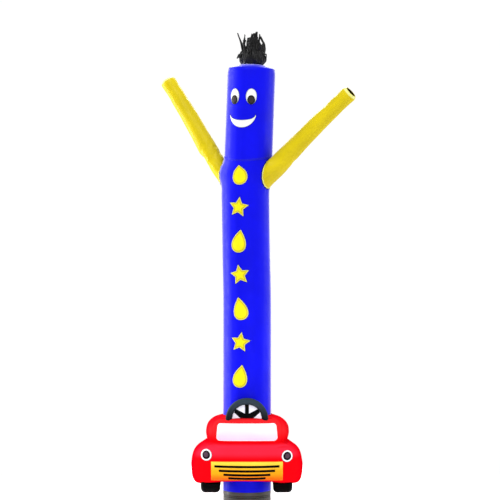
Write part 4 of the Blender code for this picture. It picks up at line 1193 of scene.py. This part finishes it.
def add_smile(white, points=60):
    """A crescent between a deep round curve and a flat one."""
    outer, inner = [], []
    deepest = 1.0 - math.sqrt(1.0 - SMILE_ROUND)
    for k in range(points + 1):
        share = 2.0 * k / points - 1.0
        across = SMILE_HALF_WIDTH * math.sin(0.5 * math.pi * share)
        bend = (1.0 - math.sqrt(1.0 - SMILE_ROUND * (across / SMILE_HALF_WIDTH) ** 2)) / deepest
        outer.append((across, SMILE_LOW + (SMILE_CORNER - SMILE_CORNER_DEPTH - SMILE_LOW) * bend))
        inner.append((SMILE_INNER * across, SMILE_HIGH + (SMILE_CORNER - SMILE_HIGH) * share**2))
    outline = outer + inner[::-1]

    def height(away):
        return PATCH_LIFT + PATCH * (0.45 + 0.55 * min(1.0, away / 0.0012)) + 0.06 * away

    smile = ladder("smile_cloth", outer, inner, SMILE_LEVELS, 0.04, on_head,
                   lambda x, y, share: edge_distance(x, y, outline), height, 0.2 * PATCH_LIFT, white)
    declare(smile, "smile", "white_cloth", outline)


def add_motifs(yellow, thread):
    outlines = {"drop": drop_outline, "star": star_outline}
    for k, (node, tilt) in enumerate(MOTIF_TILTS.items()):
        form = node[:4]
        up = MOTIF_TOP - k * MOTIF_PITCH
        c, s = math.cos(math.radians(tilt)), math.sin(math.radians(tilt))
        outline = [(x * c - y * s, x * s + y * c + up) for x, y in outlines[form](*MOTIF_SIZES[form])]
        patch(node + "_cloth", node, "yellow_cloth", outline, on_body, yellow, centre=(0.0, up))
        outline_stitches(node + "_stitches", outline, on_body, 0.0020, thread, "yellow_cloth")


# ---- hair
def smooth_path(points, share):
    """A point of the smooth curve through these points, and the curve's direction there."""
    t = share * (len(points) - 1)
    k = min(int(t), len(points) - 2)
    here, there = points[k], points[k + 1]
    before = points[k - 1] if k else 2 * here - there
    after = points[k + 2] if k + 2 < len(points) else 2 * there - here
    return curve(here, there, 0.5 * (there - before), 0.5 * (after - here), t - k)


def gathered_ribbons():
    """Ribbons that come out of the seam on the cap, cover the gather and stand up from it."""
    ribbons = []
    for k in range(GATHER_RIBBONS):
        facing = 360.0 * (k + random.uniform(-0.3, 0.3)) / GATHER_RIBBONS
        level = outward(facing)
        tall = random.uniform(*GATHER_TIP_HEIGHT)
        spread = random.uniform(*GATHER_TIP_RADIUS)
        sideways = outward(facing + 90.0) * random.uniform(-GATHER_SLANT, GATHER_SLANT)
        points = [level * radius + upward(up) for radius, up in GATHER_PATH]
        points.append(level * spread + sideways + upward(tall))
        points = [head_axis_point(p.x, -p.y, p.z - dome_drop(p.xy.length) * (p.z < 0.01)) for p in points]
        root = random.uniform(*GATHER_ROOT_WIDTH)
        ribbons.append((facing, points, root, random.uniform(*GATHER_TIP_WIDTH), 0.0, 0.0))
    return ribbons


def strip_ribbons():
    """The strips of the solids, each cut into ribbons side by side."""
    ribbons = []
    for facing, width_root, width_tip, *points in STRIPS:
        root, knee, tip = [head_axis_point(*point) for point in points]
        lanes = max(1, round(width_root / RIBBON_WIDTH))
        for lane in range(lanes):
            offset = (lane - 0.5 * (lanes - 1)) / lanes
            shorter = random.uniform(0.0, 0.014) if lanes > 1 else 0.0
            ribbons.append((facing, [root, knee, tip.lerp(knee, shorter / 0.05)], 1.12 * width_root / lanes,
                            1.05 * width_tip / lanes, offset * width_root, offset * width_tip))
    return ribbons


def add_ribbons(black):
    verts, faces, uvs = [], [], []
    row = RIBBON_COLUMNS + 1
    for facing, points, root, tip, root_out, tip_out in strip_ribbons() + gathered_ribbons():
        side = outward(facing + 90.0)
        seed = random.random()
        length = sum((b - a).length for a, b in zip(points, points[1:]))
        first = len(verts)
        for i in range(RIBBON_ROWS + 1):
            t = i / RIBBON_ROWS
            place, along = smooth_path(points, t)
            through = side.cross(along).normalized()
            width, middle = root + (tip - root) * t, root_out + (tip_out - root_out) * t
            middle += 0.0022 * t * math.sin(9.0 * t + 6.3 * seed)
            for j in range(row):
                across = j / RIBBON_COLUMNS - 0.5
                curl = 0.0024 * min(1.0, 3.0 * t) * math.cos(2 * math.pi * across + 5.0 * t + 6.3 * seed)
                curl += 0.0012 * noise.noise(Vector((across * 3.0, t * 14.0, seed * 30.0)))
                cut = 0.005 * noise.noise(Vector((j * 1.9, seed * 40.0, 2.0))) * (i == RIBBON_ROWS)
                verts.append(place + side * (middle + across * width) + through * curl
                             + along.normalized() * cut)
        for i in range(RIBBON_ROWS):
            for j in range(RIBBON_COLUMNS):
                corners = ((i, j), (i, j + 1), (i + 1, j + 1), (i + 1, j))
                faces.append([first + r * row + c for r, c in corners])
                uvs += [(c / RIBBON_COLUMNS * root + seed, r / RIBBON_ROWS * length) for r, c in corners]
    hair = add_mesh("hair_ribbons", verts, faces, black, uvs)
    ride(thicken(hair, RIBBON_CLOTH), "hair", slot="black_cloth")


def add_hair(black):
    """The cloth gathered into the cap's seam, and the ribbons that it is cut into."""
    random.seed(7)
    steps, table = steps_of(ROOT_ROWS, ROOT_FINER)
    rows = []
    for step in steps:
        up, radius, shift = read_table(table, step)
        ring = []
        for turn in columns(GATHER_COLUMNS):
            angle = math.radians(turn)
            spot = Vector((2.4 * math.sin(angle), 2.4 * math.cos(angle), up * 14.0))
            pleat = 0.075 * math.sin(9 * angle + 4.0 * noise.noise(spot))
            pleat += 0.05 * math.sin(23 * angle + 6.0 * noise.noise(spot * 1.7))
            level = outward(turn) * radius * (1.0 + min(1.0, up / 0.020) * pleat)
            drop = dome_drop(min(level.length, RIM_RADIUS))
            ring.append(head_axis_point(level.x + shift, -level.y, up + 0.0012 - drop))
        rows.append(ring)
    gather = grid("hair_gather", rows, GATHER_GIRTH, [GATHER_ROW * step for step in steps], black)
    ride(gather, "hair", slot="black_cloth")
    add_ribbons(black)


# ---- car
def car_plain_point(table, turn, row):
    """The car's plain form at this turn and row of its table; rows run in and out in between."""
    height, half_width, front, back, squareness, shift = read_table(table, row)
    hang = min(max((CAR_SAG_END - height) / (CAR_SAG_END - CAR_SAG_FULL), 0.0), 1.0)
    level = outward(turn)
    depth = back if level.y > 0 else front
    total = abs(level.x / half_width) ** squareness + abs(level.y / depth) ** squareness
    place = level * total ** (-1.0 / squareness)
    sag = CAR_SAG * hang * (place.x / CAR_SAG_ACROSS) ** 2
    return place + Vector((shift, 0.0, height - sag))


def car_swell(place, pane):
    """How far the padding stands off the car's plain form: full between seams, drawn in at them."""
    x, y, z = place
    rise = 0.0014 * noise.noise(Vector((x * 9, y * 9, z * 9))) - CAR_SLACK
    away = abs(z - COWL)
    around = math.atan2(x, -y) * 0.2
    rise -= 0.0032 * math.exp(-((away / 0.006) ** 2))
    rise += ripple(around, away, 0.024, 0.014, 0.0011)
    if y < -0.05 and abs(x) < 0.19 and 0.31 < z < 0.45:
        distance = edge_distance(x, z, pane)
        if inside(x, z, pane):
            rise -= 0.0030 * min(1.0, distance / 0.004)
        else:
            rise += 0.0052 * bump(distance - 0.014, 0.016)
            rise += ripple(around * 1.3, distance, 0.020, 0.010, 0.0010)
    if y > 0.05:
        rise -= 0.0022 * math.exp(-((x / 0.004) ** 2))
        rise += ripple(z, abs(x), 0.020, 0.010, 0.0008)
    return rise


def add_car(red, pane):
    steps, table = steps_of(CAR_ROWS, CAR_FINER)
    rows = [[car_plain_point(table, turn, step) for turn in columns(CAR_COLUMNS)] for step in steps]
    rows += [[low.lerp(high, k / CHANNEL_ROWS) for low, high in zip(rows[-1], rows[0])]
             for k in range(1, CHANNEL_ROWS)]
    rows.append(rows[0])
    along = distances([row[CAR_COLUMNS // 2] for row in rows])
    car = grid("car_padding", rows, CAR_GIRTH, along, red)
    reshape(car, lambda mesh: bmesh.ops.remove_doubles(mesh, verts=mesh.verts[:], dist=1e-6))
    mesh = car.data
    normals = [vertex.normal.copy() for vertex in mesh.vertices]
    for vertex, normal in zip(mesh.vertices, normals):
        if math.hypot(vertex.co.x - LOW_SHIFT, vertex.co.y) > CHANNEL + 0.004:
            vertex.co += normal * car_swell(vertex.co, pane)
    mesh.update()

    def held(place):
        """At the channel, the cowl, the steering wheel, the windscreen and the back's seam."""
        x, y, z = place
        if math.hypot(x, y) < CHANNEL + 0.008 or abs(z - COWL) < 0.003:
            return True
        if y < -0.11 and z > 0.44 and abs(x) < 0.11:
            return True
        if y < -0.05 and inside(x, z, pane):
            return True
        return y > 0.05 and abs(x) < 0.003

    inflate(car, held, most=0.010, pressure=2.0, spare=0.02)
    ride_padded(car, "car_body", "red_cloth")
    return car


def front_of(car, reach=0.006):
    """The function that lays a piece on the car's front: across, up, lift to a point."""
    mesh = car.data
    skin = BVHTree.FromPolygons([v.co for v in mesh.vertices], [p.vertices for p in mesh.polygons])
    known = {}

    def meet(across, up):
        key = (round(across, 5), round(up, 5))
        if key not in known:
            known[key] = skin.ray_cast(Vector((across, -1.0, up)), Vector((0.0, 1.0, 0.0)))[0]
        return known[key]

    def place(across, up, lift):
        level = meet(across + reach, up) - meet(across - reach, up)
        rising = meet(across, up + reach) - meet(across, up - reach)
        return meet(across, up) + level.cross(rising).normalized() * lift

    return place


def add_grille_bar(number, height, half_length, on_car, black, steps=24):
    """A bar that hangs a little in its middle."""
    low, high = [], []
    for k in range(steps + 1):
        share = 2.0 * k / steps - 1.0
        middle = height - BAR_SAG * (1.0 - share**2)
        low.append((share * half_length, middle - 0.5 * BAR_DEPTH))
        high.append((share * half_length, middle + 0.5 * BAR_DEPTH))
    bar = ladder(f"grille_bar_cloth_{number}", low, high, BAR_LEVELS, 0.01, on_car,
                 lambda x, y, share: min(share, 1.0 - share) * BAR_DEPTH,
                 lambda away: BAR_LIFT + 0.0010 + 0.0009 * math.sqrt(min(1.0, away / 0.003)), BAR_LIFT,
                 black)
    declare(bar, f"grille_bar_{number}", "black_cloth", low + high[::-1])


def add_car_front(car, pane, looks):
    on_car = front_of(car)
    patch("windscreen_cloth", "windscreen", "white_cloth", pane, on_car, looks["glass"],
          lift=0.0004, puff=0.0012, step=0.004, shares=PANEL_SHARES)
    panel = [(-GRILLE_HALF_WIDTH, GRILLE_FOOT), (GRILLE_HALF_WIDTH, GRILLE_FOOT),
             (GRILLE_HALF_WIDTH, GRILLE_TOP), (-GRILLE_HALF_WIDTH, GRILLE_TOP)]
    patch("grille_cloth", "grille_panel", "orange_cloth", panel, on_car, looks["grille"],
          lift=0.0004, puff=0.0006, step=0.004, shares=PANEL_SHARES)
    outline_stitches("grille_stitches", panel, on_car, 0.0013, looks["thread_yellow"], "orange_cloth")
    for k, (height, half_length) in enumerate(GRILLE_BARS):
        add_grille_bar(k + 1, height, half_length, on_car, looks["black"])
    for side, across, height in LAMPS:
        rim = "headlight_rim_" + side
        outline = moved(oval(2 * LAMP_RADIUS, 2 * LAMP_RADIUS), across, height)
        patch("lamp_rim_" + side, rim, "white_cloth", outline, on_car, looks["lamp"],
              lift=0.0005, puff=0.0018)
        outline = moved(oval(2 * LENS_RADIUS, 2 * LENS_RADIUS), across, height)
        patch("lamp_lens_" + side, "headlight_lens_" + side, "black_cloth", outline, on_car, looks["lens"],
              lift=0.0030, puff=0.0020)


def tyre_profile():
    """The tyre's half section, as shares of its half width and radius, and that section mirrored."""
    flat, deep = 1.0 - TYRE_CORNER / TYRE_HALF_WIDTH, TYRE_CORNER / TYRE_RADIUS
    right = [(share * flat, 1.0) for share in (0.25, 0.5, 0.75)]
    for k in range(TYRE_CORNER_STEPS + 1):
        angle = 0.5 * math.pi * k / TYRE_CORNER_STEPS
        right.append((flat + (1.0 - flat) * math.sin(angle), 1.0 - deep * (1.0 - math.cos(angle))))
    right += [(1.0, 0.55), (0.92, 0.30)]
    return [(-width, reach) for width, reach in reversed(right)] + [(0.0, 1.0)] + right


def add_tyre(node, out, axle, black):
    """A padded tyre, whose hidden top ends at the car."""
    centre = Vector((out, axle, TYRE_FOOT + TYRE_RADIUS))
    rows = []
    for width, share in tyre_profile():
        ring = []
        for angle in circle(TYRE_COLUMNS):
            groove = 0.010 * (math.cos(TYRE_TREADS * angle) > 0.6) * (abs(width) > 0.35)
            spot = Vector((2 * math.cos(angle), 2 * math.sin(angle), 9 * out + width))
            reach = share * TYRE_RADIUS * (1.0 - groove + 0.012 * noise.noise(spot))
            ring.append(centre + Vector((width * TYRE_HALF_WIDTH, reach * math.cos(angle),
                                         reach * math.sin(angle))))
        rows.append(ring)
    along = [0.004 * k for k in range(len(rows))]
    tyre = grid(node + "_padding", rows, TYRE_RADIUS * 2 * math.pi, along, black)
    reshape(tyre, close_ends)
    cut_by(tyre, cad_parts["car_body"])
    ride_padded(tyre, node, "black_cloth")


def add_tyres(black):
    for end, axle in TYRE_AXLES:
        for side, out in zip(("left", "right"), TYRE_OUT):
            add_tyre(f"tyre_{end}_{side}", out, axle, black)


# ---- steering wheel
def steering_angles(steps):
    """Angles of the half ring, which runs a little past level at both ends."""
    return [math.radians(-STEERING_SPREAD + (180.0 + 2 * STEERING_SPREAD) * (k / steps))
            for k in range(steps + 1)]


def add_steering_ring(charcoal):
    rows = []
    for angle in steering_angles(STEERING_STEPS):
        reach = Vector((math.cos(angle), 0.0, math.sin(angle)))
        ring = []
        for around in circle(STEERING_SIDES):
            fold = 1.0 + 0.035 * math.sin(angle * 26 + 3 * noise.noise(Vector((angle * 3, around, 0))))
            fold *= 1.0 + 0.04 * noise.noise(Vector((angle * 5, around * 1.2, 4.0)))
            inner = 0.5 - 0.5 * math.cos(around)
            size = STEERING_TUBE * (1.0 + (fold - 1.0) * (0.25 + 0.75 * inner))
            out = STEERING_RADIUS + size * math.cos(around)
            ring.append(Vector(STEERING_PLACE) + reach * out + Vector((0.0, size * math.sin(around), 0.0)))
        rows.append(ring)
    along = [math.pi * STEERING_RADIUS * k / STEERING_STEPS for k in range(STEERING_STEPS + 1)]
    ring = grid("steering_padding", rows, 2 * math.pi * STEERING_TUBE, along, charcoal, flip=True)
    ride_padded(ring, "steering_ring", "black_cloth")


def to_circle(start, along, radius):
    """How far a line from this start runs before it meets the circle round the origin."""
    inward = start.dot(along)
    return math.sqrt(inward**2 - start.length_squared + radius**2) - inward


def spokes_outline(radius):
    """Three spokes from a hub to a circle of this radius, and a foot that goes down to the car."""
    half = 0.5 * SPOKE_WIDTH
    hub = Vector((0.0, HUB_RISE))
    outline = [(-HUB_HALF_WIDTH, -HUB_FOOT), (HUB_HALF_WIDTH, -HUB_FOOT)]
    angles = [math.radians(angle) for angle in SPOKE_ANGLES]
    for k, angle in enumerate(angles):
        along = Vector((math.cos(angle), math.sin(angle)))
        side = Vector((along.y, -along.x))
        length = min(to_circle(hub + side * out, along, radius) for out in (-half, half))
        outline += [tuple(along * length + side * half), tuple(along * length - side * half)]
        if k + 1 < len(angles):
            middle = 0.5 * (angle + angles[k + 1])
            valley = half / math.sin(0.5 * (angles[k + 1] - angle))
            outline.append((valley * math.cos(middle), valley * math.sin(middle)))
    return moved(outline, 0.0, HUB_RISE)


def add_wheel_inside(white, black):
    """The white panel inside the ring and the black spokes sewn on it."""
    x, y, z = STEERING_PLACE
    reach = STEERING_RADIUS - STEERING_TUBE + 0.003
    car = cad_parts["car_body"]

    def on_panel(across, up, lift):
        full = 0.0012 * (1.0 - ((across - x) ** 2 + (up - z) ** 2) / reach**2)
        return Vector((across, y - lift - full, up))

    arc = [(x + reach * math.cos(angle), z + reach * math.sin(angle)) for angle in steering_angles(60)]
    patch("steering_panel_cloth", "steering_panel", "white_cloth", arc, on_panel, white,
          centre=(x, z + 0.3 * reach), puff=0.0006, cutter=car)
    outline = moved(spokes_outline(reach - 0.0006), x, z)
    patch("steering_spokes_cloth", "steering_spokes", "black_cloth", outline, on_panel, black,
          lift=0.0026, centre=(x, z + HUB_RISE), puff=0.0008, cutter=car)


# ---- outlet
def add_drum(grey):
    rows = [[outward(turn) * radius + upward(height) for turn in columns(DRUM_COLUMNS)]
            for radius, height in DRUM_WALL]
    drum = grid("outlet_drum", rows, DRUM_GIRTH, distances(DRUM_WALL), grey)
    reshape(drum, close_ends)
    drum.data.set_sharp_from_angle(angle=math.radians(35))
    ride(drum, "blower_drum", slot="grey_plastic")


def main():
    add_camera()
    add_stage()
    looks = make_looks()
    add_body(looks["blue"])
    add_head(looks["blue"])
    add_cap(looks["blue"])
    for arm in ARMS:
        add_sleeve(arm, looks)
    add_tube_seams(looks["seam"], looks["thread_blue"])
    add_eyes(looks)
    add_smile(looks["smile"])
    add_motifs(looks["motif"], looks["thread_yellow"])
    add_hair(looks["hair"])
    pane = rounded_corners((
        (-WINDSCREEN_HALF_FOOT, WINDSCREEN_FOOT), (WINDSCREEN_HALF_FOOT, WINDSCREEN_FOOT),
        (WINDSCREEN_HALF_TOP, WINDSCREEN_TOP), (-WINDSCREEN_HALF_TOP, WINDSCREEN_TOP),
    ), WINDSCREEN_CORNER)
    car = add_car(looks["red"], pane)
    add_car_front(car, pane, looks)
    add_tyres(looks["black"])
    add_steering_ring(looks["charcoal"])
    add_wheel_inside(looks["panel"], looks["black"])
    add_drum(looks["plastic"])


main()
